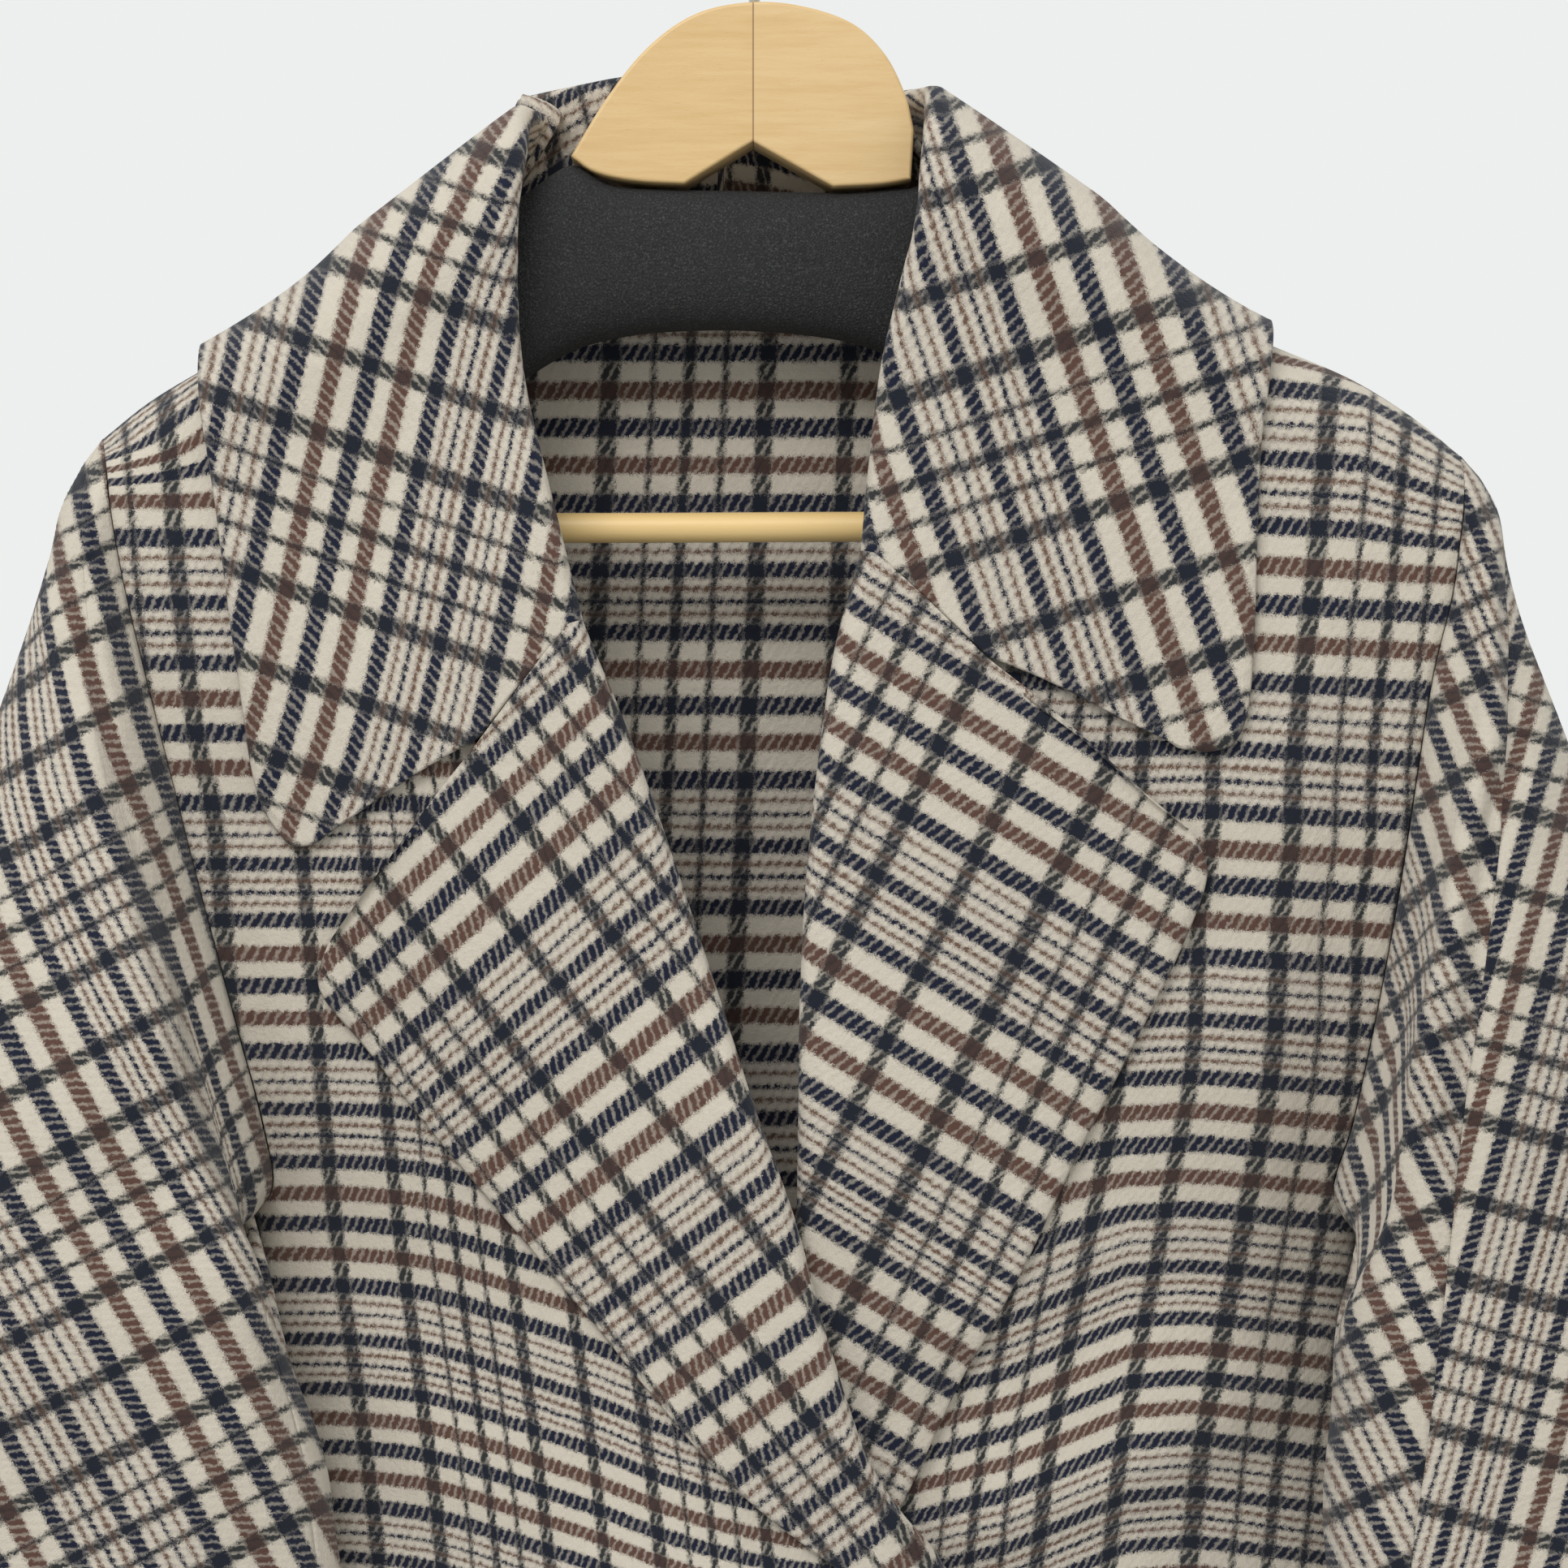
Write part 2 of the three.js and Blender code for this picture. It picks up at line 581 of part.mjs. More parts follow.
// Section of cloth that leaves an edge, rolls over and lies back on the body.
// path gives the place on the body below each column of the part that lies back.
function rolledSection(frame, stand, lean, path, shiftZ) {
  const points = [];
  const normals = [];
  const angle = THREE.MathUtils.degToRad(lean);
  const place = (a, h) => frame.point.clone().addScaledVector(frame.past, a).addScaledVector(frame.normal, h);
  const way = (a, h) => frame.past.clone().multiplyScalar(a).addScaledVector(frame.normal, h);
  points.push(place(SEAM, -CLOTH));
  normals.push(way(0, -1));
  for (const f of [0.4, 1]) {
    points.push(place(SEAM + stand * f * Math.cos(angle), stand * f * Math.sin(angle) - CLOTH));
    normals.push(way(Math.sin(angle), -Math.cos(angle)));
  }
  const centreA = SEAM + stand * Math.cos(angle) - ROLL_OUTSIDE * Math.sin(angle);
  const centreH = stand * Math.sin(angle) - CLOTH + ROLL_OUTSIDE * Math.cos(angle);
  for (const f of [0.25, 0.5, 0.75, 1]) {
    const turn = mix(angle, Math.PI, f);
    points.push(place(centreA + ROLL_OUTSIDE * Math.sin(turn), centreH - ROLL_OUTSIDE * Math.cos(turn)));
    normals.push(way(Math.sin(turn), -Math.cos(turn)));
  }
  for (let column = 1; column <= FALL_COLUMNS; column += 1) {
    const f = column / FALL_COLUMNS;
    const { x, girth, left } = path(column, f);
    const lie = LIE + SHOULDER_LIE * Math.max(1 - Math.abs(girth) / SHOULDER_LIE_REACH, 0);
    const height = CLOTH + lie + (centreH + ROLL_OUTSIDE - CLOTH - lie) * (1 - f) ** 1.7;
    const base = bodyPoint(x, girth, frame.over);
    const normal = bodyNormal(x, girth, frame.over);
    base.addScaledVector(normal, height).addScaledVector(frame.past, centreA * left);
    points.push(base);
    normals.push(normal);
  }
  for (const point of points) point.z += shiftZ;
  return { points, normals };
}

// Way from the roll to the free edge; the cloth clears its own stand over the first columns
function fallPath(from, notch, to, side) {
  return (column, f) => {
    const third = NOTCH_COLUMN / FALL_COLUMNS;
    const place = column <= NOTCH_COLUMN
      ? blend(from, notch, f / third)
      : blend(notch, to, (f - third) / (1 - third));
    return { x: place.x, girth: girthOf(place.x, place.z, side), left: Math.max(1 - f / third, 0) };
  };
}

const frontPlace = (p) => ({ ...p, girth: girthOf(p.x, p.z, -1) });

// Lapel from the gorge to the break, turned back over its front
function lapel(innerEdge, shape, over) {
  const points = [];
  const normals = [];
  const rows = shape.edge.length;
  const straight = blend(innerEdge[GORGE], shape.edge[0], NOTCH_COLUMN / FALL_COLUMNS);
  for (let row = 0; row < rows; row += 1) {
    const places = [row - 1, row, row + 1].map((n) => frontPlace(innerEdge[GORGE + n]));
    const frame = edgeFrame(...places, over);
    if (frame.past.x * Math.sign(innerEdge[0].x) > 0) frame.past.negate();
    const fade = (1 - row / (rows - 1)) ** 2;
    const notch = blend(innerEdge[GORGE + row], shape.edge[row], NOTCH_COLUMN / FALL_COLUMNS);
    notch.x += (shape.notch.x - straight.x) * fade;
    notch.z += (shape.notch.z - straight.z) * fade;
    const path = fallPath(innerEdge[GORGE + row], notch, shape.edge[row], -1);
    const section = rolledSection(frame, ROLL_EASE, 0, path, row === 0 ? -SEAM : 0);
    points.push(section.points);
    normals.push(section.normals);
  }
  return wall(points, normals);
}

// Collar from one gorge round the neck to the other
function collar() {
  const stations = [];
  const front = (innerEdge, shape, notch) => shape.map((station, n) => ({
    ...frontPlace(innerEdge[GORGE - n]), station, side: -1, notch: n === 0 ? notch : null,
  }));
  stations.push(...front(EDGE_LEFT, COLLAR_LEFT, LAPEL_LEFT.notch));
  for (const station of COLLAR_BACK) {
    const z = bodyPoint(station.neck, station.girth, false).z;
    stations.push({ x: station.neck, z, girth: station.girth, station, side: 1, notch: null });
  }
  stations.push(...front(EDGE_RIGHT, COLLAR_RIGHT, LAPEL_RIGHT.notch).reverse());
  const last = stations.length - 1;
  const beyond = (innerEdge) => frontPlace(innerEdge[GORGE + 1]);
  const points = [];
  const normals = [];
  stations.forEach((here, n) => {
    const before = n === 0 ? beyond(EDGE_LEFT) : stations[n - 1];
    const after = n === last ? beyond(EDGE_RIGHT) : stations[n + 1];
    const frame = edgeFrame(before, here, after, false);
    const end = n === 0 || n === last;
    const free = here.station;
    const from = { x: here.x, girth: here.girth };
    const to = { x: free.x, girth: girthOf(free.x, free.z, here.side) };
    const path = end ? fallPath(here, here.notch, free, -1) : (column, f) => ({
      x: mix(from.x, to.x, f),
      girth: mix(from.girth, to.girth, f),
      left: Math.max(1 - f * FALL_COLUMNS / NOTCH_COLUMN, 0),
    });
    const section = rolledSection(frame, free.stand, free.lean, path, end ? SEAM : 0);
    points.push(section.points);
    normals.push(section.normals);
  });
  return wall(points, normals);
}

// Whole sleeve as a tube: the armhole, then oval sections that turn level towards the cuff
function sleeveTube(armhole, sections) {
  const count = 2 * UNDERARM;
  const joins = [];
  for (let n = 0; n < count; n += 1) {
    const side = n <= UNDERARM ? -1 : 1;
    const row = n <= UNDERARM ? n : count - n;
    const join = sideJoin(row, armhole, side);
    join.point.y = row === 0 || row === UNDERARM ? 0 : join.point.y;
    joins.push(join);
  }
  const top = joins[0].point;
  const under = joins[UNDERARM].point;
  const first = { outX: top.x, outY: 0, outZ: top.z, inX: under.x, inY: 0, inZ: under.z, half: 45 };
  const oval = (section, n) => {
    const turn = 2 * Math.PI * n / count;
    const out = new THREE.Vector3(section.outX, section.outY, section.outZ);
    const into = new THREE.Vector3(section.inX, section.inY, section.inZ);
    const point = into.clone().lerp(out, (1 + Math.cos(turn)) / 2);
    const inner = (1 - Math.cos(turn)) / 2;
    const power = Math.sin(turn) > 0 ? FRONT_FULLNESS : mix(FRONT_FULLNESS, BACK_FULLNESS, inner);
    point.y -= section.half * Math.sign(Math.sin(turn)) * Math.abs(Math.sin(turn)) ** power;
    return point;
  };
  const points = [];
  const outward = new THREE.Vector3(Math.sign(top.x), 0, 0);
  const ways = joins.map((join, n) => {
    const row = n <= UNDERARM ? n : count - n;
    const fold = ease(row / UNDERARM, 0.4, 0.95);
    const way = join.way.clone();
    way.x *= 1 - 2 * fold;
    const gap = outward.clone().projectOnPlane(join.way).normalize().multiplyScalar(1 - fold);
    gap.addScaledVector(join.way, fold).normalize();
    return { way: way.normalize(), gap };
  });
  points.push(joins.map((join, n) => join.point.clone().addScaledVector(ways[n].gap, SLEEVE_SEAM)));
  sections.forEach((section, s) => {
    const fade = Math.max(1 - (s + 1) / ARMHOLE_FADE, 0) ** 1.5;
    const ring = [];
    for (let n = 0; n < count; n += 1) {
      const pull = joins[n].point.clone().sub(oval(first, n)).multiplyScalar(fade);
      ring.push(oval(section, n).add(pull));
    }
    points.push(ring);
  });
  const rows = points.length;
  const around = (i, j) => points[i][(j + 1) % count].clone().sub(points[i][(j + count - 1) % count]);
  const normals = points.map((ring, i) => ring.map((point, j) => {
    if (i === 0) return ways[j].way;
    const along = points[Math.min(i + 1, rows - 1)][j].clone().sub(points[i - 1][j]);
    const way = along.cross(around(i, j)).normalize();
    return way.multiplyScalar(-Math.sign(top.x));
  }));
  return { points, normals, around, count };
}

// Sleeve cut in one piece: once round the arm, its two long edges meeting at the seam down its front
function sleeve(armhole, sections) {
  const tube = sleeveTube(armhole, sections);
  const places = [];
  for (let n = 0; n <= tube.count; n += 1) places.push((SLEEVE_FRONT_SEAM + n) % tube.count);
  const points = tube.points.map((ring, i) => places.map((j, n) => {
    const inset = n === 0 ? SEAM / 2 : (n === tube.count ? -SEAM / 2 : 0);
    return ring[j].clone().addScaledVector(tube.around(i, j).normalize(), inset);
  }));
  const normals = tube.normals.map((ring) => places.map((j) => ring[j]));
  return wall(points, normals);
}

function solidOf(geometry) {
  const bare = geometry.clone();
  bare.deleteAttribute('normal');
  bare.deleteAttribute('uv');
  const merged = BufferGeometryUtils.mergeVertices(bare, 1e-4);
  return new wasm.Manifold(new wasm.Mesh({
    numProp: 3,
    vertProperties: new Float32Array(merged.attributes.position.array),
    triVerts: new Uint32Array(merged.index.array),
  }));
}

function geometryOf(solid) {
  const mesh = solid.getMesh();
  const geometry = new THREE.BufferGeometry();
  geometry.setAttribute('position', new THREE.BufferAttribute(mesh.vertProperties, 3));
  geometry.setIndex(new THREE.BufferAttribute(mesh.triVerts, 1));
  return geometry;
}

function barGeometry(radius, from, to) {
  const geometry = new THREE.CylinderGeometry(radius, radius, to - from, 20);
  geometry.rotateZ(Math.PI / 2);
  geometry.translate((from + to) / 2, 0, BAR_Z);
  return geometry;
}

// Padded arms: rounded upright sections along X, with a socket for each end of the bar
function armsGeometry() {
  const position = [];
  const index = [];
  ARMS.forEach((section, i) => {
    const middle = (section.top + section.bottom) / 2;
    const tall = (section.top - section.bottom) / 2;
    const thin = ARM_HALF_DEPTH * Math.sqrt(Math.min(1, tall / 14));
    for (let j = 0; j < ARM_SIDES; j += 1) {
      const turn = 2 * Math.PI * j / ARM_SIDES;
      const power = (value) => Math.sign(value) * Math.abs(value) ** ARM_POWER;
      position.push(section.x, thin * power(Math.cos(turn)), middle + tall * power(Math.sin(turn)));
      if (i === 0) continue;
      const a = (i - 1) * ARM_SIDES + j;
      const b = (i - 1) * ARM_SIDES + (j + 1) % ARM_SIDES;
      index.push(a, b, b + ARM_SIDES, a, b + ARM_SIDES, a + ARM_SIDES);
    }
  });
  const end = (ARMS.length - 1) * ARM_SIDES;
  for (let j = 1; j < ARM_SIDES - 1; j += 1) {
    index.push(0, j + 1, j);
    index.push(end, end + j, end + j + 1);
  }
  const arms = solidOf(closed(position, index));
  const socket = solidOf(barGeometry(BAR_RADIUS + SEAM, BAR_LEFT - SEAM, BAR_RIGHT + SEAM));
  return geometryOf(arms.subtract(socket));
}

function headGeometry() {
  const shape = new THREE.Shape();
  const outline = [...HEAD_DOME, ...HEAD_FOOT];
  shape.setFromPoints(outline.map((p) => new THREE.Vector2(p.x, p.z)));
  const geometry = new THREE.ExtrudeGeometry(shape, { depth: HEAD_DEPTH, bevelEnabled: false });
  geometry.rotateX(Math.PI / 2);
  geometry.translate(0, HEAD_DEPTH / 2, 0);
  return geometry;
}

// Wire hook: stem up from the head, then three quarters of a circle
function hookGeometry() {
  const middle = WIRE_RADIUS - HOOK_RADIUS;
  const around = (degrees) => {
    const turn = THREE.MathUtils.degToRad(degrees);
    return new THREE.Vector3(HOOK_RADIUS * Math.cos(turn), 0, middle + HOOK_RADIUS * Math.sin(turn));
  };
  const stem = [HEAD_TOP + SEAM, -62, -54].map((z) => new THREE.Vector3(0, 0, z));
  const bend = [-55, -30, 0, 30, 60, 90, 120, 150, 180, 205].map(around);
  const route = new THREE.CatmullRomCurve3([...stem, ...bend]);
  const wire = new THREE.Shape();
  wire.absarc(0, 0, WIRE_RADIUS, 0, 2 * Math.PI);
  return new THREE.ExtrudeGeometry(wire, { steps: 34, curveSegments: 8, extrudePath: route });
}

const CHECK = { color: 0xb3a794, roughness: 0.95, metalness: 0 };
const WOOD = { color: 0xe2bf86, roughness: 0.5, metalness: 0 };
const FOAM = { color: 0x2f3032, roughness: 0.9, metalness: 0 };
const STEEL = { color: 0xb9bcc0, roughness: 0.3, metalness: 1 };

const coat = new THREE.Group();

function add(name, geometry, look) {
  const mesh = new THREE.Mesh(geometry, new THREE.MeshStandardMaterial(look));
  mesh.name = name;
  coat.add(mesh);
}

add('back', backPanel(), CHECK);
add('front_left', frontPanel(ARMHOLE_LEFT, EDGE_LEFT, true), CHECK);
add('front_right', frontPanel(ARMHOLE_RIGHT, EDGE_RIGHT, false), CHECK);
add('lapel_left', lapel(EDGE_LEFT, LAPEL_LEFT, true), CHECK);
add('lapel_right', lapel(EDGE_RIGHT, LAPEL_RIGHT, false), CHECK);
add('collar', collar(), CHECK);
add('sleeve_left', sleeve(ARMHOLE_LEFT, SLEEVE_LEFT), CHECK);
add('sleeve_right', sleeve(ARMHOLE_RIGHT, SLEEVE_RIGHT), CHECK);
add('hanger_head', headGeometry(), WOOD);
add('hanger_arms', armsGeometry(), FOAM);
add('trouser_bar', barGeometry(BAR_RADIUS, BAR_LEFT, BAR_RIGHT), WOOD);
add('hook', hookGeometry(), STEEL);

export default coat;
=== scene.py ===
import math

import bpy
import numpy as np
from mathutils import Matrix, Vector


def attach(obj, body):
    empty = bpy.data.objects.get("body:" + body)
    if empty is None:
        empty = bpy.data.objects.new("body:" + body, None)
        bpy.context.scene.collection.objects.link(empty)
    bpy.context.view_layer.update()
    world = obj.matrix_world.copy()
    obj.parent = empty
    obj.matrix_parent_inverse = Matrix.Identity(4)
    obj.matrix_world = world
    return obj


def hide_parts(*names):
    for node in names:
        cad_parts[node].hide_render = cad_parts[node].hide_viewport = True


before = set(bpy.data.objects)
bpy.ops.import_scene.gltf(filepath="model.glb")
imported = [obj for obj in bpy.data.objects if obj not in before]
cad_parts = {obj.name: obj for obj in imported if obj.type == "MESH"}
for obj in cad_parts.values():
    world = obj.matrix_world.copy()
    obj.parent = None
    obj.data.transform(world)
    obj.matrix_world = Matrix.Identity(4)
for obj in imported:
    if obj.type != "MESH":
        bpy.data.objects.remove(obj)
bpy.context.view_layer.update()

# Millimetres here, metres in the meshes. +X to the viewer's right, the coat's front faces -Y.
CLOTH = 2.6
SEAM = 0.3
ROLL_OUTSIDE = 4.8
ROLL_EASE = 1.5
LIE = 1.7
SHOULDER_LIE = 4
SHOULDER_LIE_REACH = 62
CENTRE = 15
SHOULDER_ROUND = 30
QUARTER = SHOULDER_ROUND * math.pi / 2
SIDE_POWER = 2.5
HEM = -1060
UNDERARM = 12
GORGE = 7
NOTCH = 1 / 3

# Camera: straight ahead of the coat, the frame as wide as the photographed one
EYE = (10.26, -1560.0, -340.8)
FRAME_WIDTH = 521.6
FRAME_DISTANCE = 1500.0
FRAME_PIXELS = 1932

RIDGE = [
    (-224, -221), (-209, -209), (-190, -197.5), (-149, -175), (-121, -155.5), (-100, -142),
    (-60, -122), (-13, -112), (40, -120), (80, -137), (101, -147.5), (132, -166),
    (171, -186), (205, -200.5), (227, -214), (243, -227),
]
# level, half width, depth in front, depth behind
BODY = [
    (-100, 430, 30, 30), (-220, 430, 34, 33), (-300, 360, 42, 39), (-380, 285, 48, 44),
    (-440, 232, 53, 48), (-495, 198, 56, 52), (-560, 199, 60, 56), (-640, 216, 64, 60),
    (-720, 236, 68, 64), (-800, 244, 70, 66), (-900, 238, 68, 64), (HEM, 205, 60, 58),
]
ARMHOLE_LEFT = [
    (-224, -221), (-223, -223.5), (-221, -229), (-219, -238), (-217, -251), (-213, -272),
    (-206, -301), (-196, -340), (-186, -380), (-175, -421), (-166, -456), (-164, -480),
    (CENTRE - 198, -494),
]
ARMHOLE_RIGHT = [
    (243, -227), (242.5, -229.5), (242, -235), (241, -244), (239, -257), (236, -277),
    (229, -305), (223, -342), (217, -381), (210, -421), (203, -456), (197, -481),
    (CENTRE + 198, -494),
]
SIDE_LEVELS = [-528, -566, -602, -640, -690, -745, -800, -855, -910, -965, -1015, HEM]
ROWS = UNDERARM + len(SIDE_LEVELS)
EDGE_LEFT = [
    (-100, -142), (-99.5, -145), (-98, -152), (-95, -163), (-92, -178), (-87, -206),
    (-79, -242), (-63.5, -288), (-49.5, -322), (-35, -362), (-21.5, -402), (-7.5, -444),
    (7.5, -486), (19, -528), (34, -570), (60, -604), (88, -636), (93, -690), (93, -745),
    (93, -800), (92, -855), (91, -910), (90, -965), (88, -1015), (86, HEM),
]
EDGE_RIGHT = [
    (80, -137), (79.5, -140.5), (77, -149), (72.5, -160), (66, -175), (57, -203),
    (49, -234), (42.5, -264), (33.5, -298), (28, -335), (24, -374), (22, -415),
    (21.5, -458), (20, -502), (14, -545), (4, -592), (-12, -640), (-40, -690), (-56, -745),
    (-58, -800), (-58, -855), (-57, -910), (-56, -965), (-54, -1015), (-52, HEM),
]
LAPEL_LEFT_NOTCH = (-93, -329)
LAPEL_LEFT = [
    (-145, -398), (-144, -411), (-129, -429), (-108, -455), (-85, -482), (-60, -511),
    (-32, -543), (0, -577), (42, -609), (81, -641),
]
LAPEL_RIGHT_NOTCH = (79, -302)
LAPEL_RIGHT = [
    (152, -361), (150, -377), (138, -405), (122, -436), (106, -467), (90, -500),
    (73, -531), (56, -563), (38, -602), (12, -650), (-31, -697),
]
# stand, lean, free edge
COLLAR_LEFT = [
    (ROLL_EASE, 0, -153, -364), (5.5, 3, -166, -344), (5.5, 6, -173, -304),
    (8.5, 10, -178, -269), (13, 14, -181, -247), (21, 18, -184, -228),
    (30, 22, -186, -212), (36.5, 26, -187, -196),
]
COLLAR_RIGHT = [
    (ROLL_EASE, 0, 156, -334), (5.5, 3, 165, -318), (10, 6, 168, -288), (13, 10, 169, -262),
    (17, 16, 170, -242), (24, 23, 171, -222), (31, 29, 173, -205), (38, 34, 175, -188),
]
# neck, girth, stand, lean, free edge
COLLAR_BACK = [
    (-98, 9, 37.5, 25, -186, -203), (-94, 18, 39, 22, -181, -213), (-86, 28, 41, 19, -165, -221),
    (-66, 37, 43, 14, -128, -222), (-40, 40, 43, 10, -75, -219), (-12, 41, 42, 8, -14, -217),
    (16, 41, 42, 8, 40, -217), (40, 39, 42, 12, 90, -217), (60, 34, 41, 18, 135, -215),
    (72, 25, 43, 24, 158, -208), (78, 12, 42, 30, 171, -196),
]
# outer point, inner point, half thickness
SLEEVE_LEFT = [
    (-231, -2, -230, -186, -29, -500, 46), (-237, -6, -245, -177, -37, -506, 46),
    (-239, -11, -264, -168, -52, -513, 46), (-246, -18, -290, -157, -61, -525, 46),
    (-262, -28, -335, -149, -65, -544, 45), (-281, -38, -390, -143, -66, -565, 44),
    (-300, -46, -447, -138, -69, -586, 43), (-321, -52, -508, -134, -71, -609, 42),
    (-339, -56, -562, -136, -73, -637, 41), (-352, -59, -612, -146, -74, -669, 40),
    (-361, -61, -662, -166, -74, -706, 39), (-368, -62, -708, -190, -74, -750, 38),
    (-372, -62, -752, -214, -73, -792, 37),
]
SLEEVE_RIGHT = [
    (250, -2, -235, 213.5, -22, -500, 45), (256, -6, -247, 208, -37, -506, 45),
    (259, -11, -266, 203, -49, -513, 45), (265, -17, -291, 196, -54, -525, 45),
    (280, -26, -333, 193, -60, -545, 44), (299, -35, -390, 191, -65, -566, 43),
    (316, -42, -447, 191, -68, -588, 42), (332, -48, -500, 192, -70, -612, 41),
    (350, -52, -560, 196, -71, -640, 40), (366, -55, -615, 203, -72, -672, 39),
    (379, -57, -665, 216, -72, -706, 38), (389, -58, -708, 230, -71, -746, 37),
    (396, -58, -752, 245, -70, -790, 36),
]

# Creases of the fronts: a line of places (x, z), width and height; below zero is a trough
FRONT_CREASES = [
    ([(62, -590), (115, -572), (170, -548)], 15, 7.0),
    ([(44, -552), (95, -532), (146, -506)], 16, -3.5),
    ([(-140, -520), (-85, -580), (-30, -640)], 24, 4.0),
    ([(-165, -470), (-118, -512), (-70, -560)], 20, -3.0),
]
FINE_CREASES = [
    ([(205, -300), (196, -400), (186, -480), (176, -560)], 13, -2.6),
    ([(186, -330), (176, -420), (166, -520)], 15, 1.6),
    ([(-196, -300), (-184, -380), (-168, -450)], 12, -2.0),
    ([(150, -420), (140, -520), (120, -600)], 20, 1.6),
    ([(-150, -420), (-140, -500), (-110, -570)], 18, 1.6),
    ([(130, -620), (110, -760), (96, -900)], 26, 3.0),
    ([(-120, -640), (-118, -780), (-96, -930)], 28, 3.2),
    ([(170, -640), (168, -780), (150, -920)], 24, -3.0),
    ([(-60, -680), (-56, -820), (-50, -980)], 26, -2.6),
    ([(70, -536), (60, -572), (54, -622)], 8, -5.0),
    ([(20, -700), (24, -860), (20, -1020)], 24, 2.4),
]
BACK_CREASES = [
    ([(-150, -260), (-120, -420), (-110, -620)], 26, 2.6),
    ([(150, -260), (140, -430), (120, -640)], 28, 2.6),
    ([(-60, -330), (-50, -560), (-62, -800)], 30, -2.4),
    ([(80, -340), (66, -560), (74, -820)], 28, -2.2),
    ([(0, -620), (6, -800), (0, -1000)], 34, 3.0),
    ([(-130, -700), (-120, -860), (-100, -1020)], 28, 3.0),
    ([(150, -700), (142, -860), (120, -1020)], 28, 3.0),
]


class Line:
    """A smooth line through given rows, read at any place along its first column."""

    def __init__(self, rows):
        table = np.array(rows, float)
        if table[0, 0] > table[-1, 0]:
            table = table[::-1]
        self.at, self.to = table[:, 0], table[:, 1:]

    def __call__(self, where, column=0):
        x, y = self.at, self.to[:, column]
        last = len(x) - 1
        where = np.clip(np.asarray(where, float), x[0], x[last])
        low = np.clip(np.searchsorted(x, where, side="right") - 1, 0, last - 1)
        slope = lambda a, b: (y[b] - y[a]) / (x[b] - x[a])
        span = x[low + 1] - x[low]
        f = (where - x[low]) / span
        start = slope(np.maximum(low - 1, 0), low + 1) * span
        end = slope(low, np.minimum(low + 2, last)) * span
        f2, f3 = f * f, f * f * f
        return ((2 * f3 - 3 * f2 + 1) * y[low] + (f3 - 2 * f2 + f) * start
                + (3 * f2 - 2 * f3) * y[low + 1] + (f3 - f2) * end)


def numbered(rows):
    return Line([(n, *row) for n, row in enumerate(rows)])


def mix(a, b, f):
    return a + (b - a) * f


def ease(value, low, high):
    f = np.clip((np.asarray(value, float) - low) / (high - low), 0, 1)
    return f * f * (3 - 2 * f)


def unit(v):
    return v / np.maximum(np.linalg.norm(v, axis=-1, keepdims=True), 1e-9)


ridge = Line(RIDGE)
body = Line(BODY)


def girth_of(x, z, side):
    drop = np.maximum(ridge(x) - z, 0)
    inside = SHOULDER_ROUND * np.arccos(np.clip(1 - drop / SHOULDER_ROUND, -1, 1))
    return side * np.where(drop > SHOULDER_ROUND, QUARTER + drop - SHOULDER_ROUND, inside)


def crease_height(x, z, creases):
    """Height of soft ridges and troughs along given lines, fading out at their ends."""
    height = np.zeros(np.shape(x))
    for places, width, tall in creases:
        places = np.array(places, float)
        steps = np.linalg.norm(np.diff(places, axis=0), axis=1)
        starts = np.concatenate([[0], np.cumsum(steps)])
        nearest = np.full(np.shape(x), 1e9)
        along = np.zeros(np.shape(x))
        for n, step in enumerate(steps):
            a, run = places[n], places[n + 1] - places[n]
            f = np.clip(((x - a[0]) * run[0] + (z - a[1]) * run[1]) / step ** 2, 0, 1)
            off = np.hypot(x - a[0] - f * run[0], z - a[1] - f * run[1])
            closer = off < nearest
            nearest = np.where(closer, off, nearest)
            along = np.where(closer, (starts[n] + f * step) / starts[-1], along)
        height += tall * np.sin(np.pi * (0.15 + 0.7 * along)) * np.exp(-(nearest / width) ** 2)
    return height


def ripple(x, z):
    """Slight unevenness of hanging cloth."""
    return (0.55 * np.sin(x / 21 + 1.3 * np.sin(z / 63)) * np.sin(z / 37 + x / 90)
            + 0.35 * np.sin(x / 11.5 - z / 29 + 0.8))


edge_right_at = Line([(z, x) for x, z in EDGE_RIGHT])


def body_point(x, girth, over):
    x, girth = np.broadcast_arrays(np.asarray(x, float), np.asarray(girth, float))
    around = np.minimum(np.abs(girth), QUARTER) / SHOULDER_ROUND
    below = np.maximum(np.abs(girth) - QUARTER, 0)
    z = ridge(x) - SHOULDER_ROUND * (1 - np.cos(around)) - below
    off = np.minimum(np.abs(x - CENTRE) / body(z, 0), 1)
    side = np.sqrt(1 - off ** SIDE_POWER)
    front = girth < 0
    wave = 4 * np.cos(2 * np.pi * (x - CENTRE) / 130) * ease(-z, 640, -HEM)
    fold = crease_height(x, z, FRONT_CREASES)
    if over:
        reach = edge_right_at(z) - 14
        lift = mix(12.6, 6.0, ease(-z, 700, 780))
        fold = fold + lift * ease(x, reach - 55, reach) * ease(-z, 405, 462)
    fine = np.where(front, crease_height(x, z, FINE_CREASES), crease_height(x, z, BACK_CREASES))
    fine = (fine + ripple(x, z)) * ease(np.abs(girth), 8, 70) * ease(side, 0.15, 0.6)
    fold = np.where(front, fold, 0) + fine
    depth = np.where(front, body(z, 1), body(z, 2)) + np.where(front, 1, -1) * wave * side
    reach = depth * side * np.sin(around) + fold
    return np.stack([x, np.where(front, -reach, reach), z], -1)


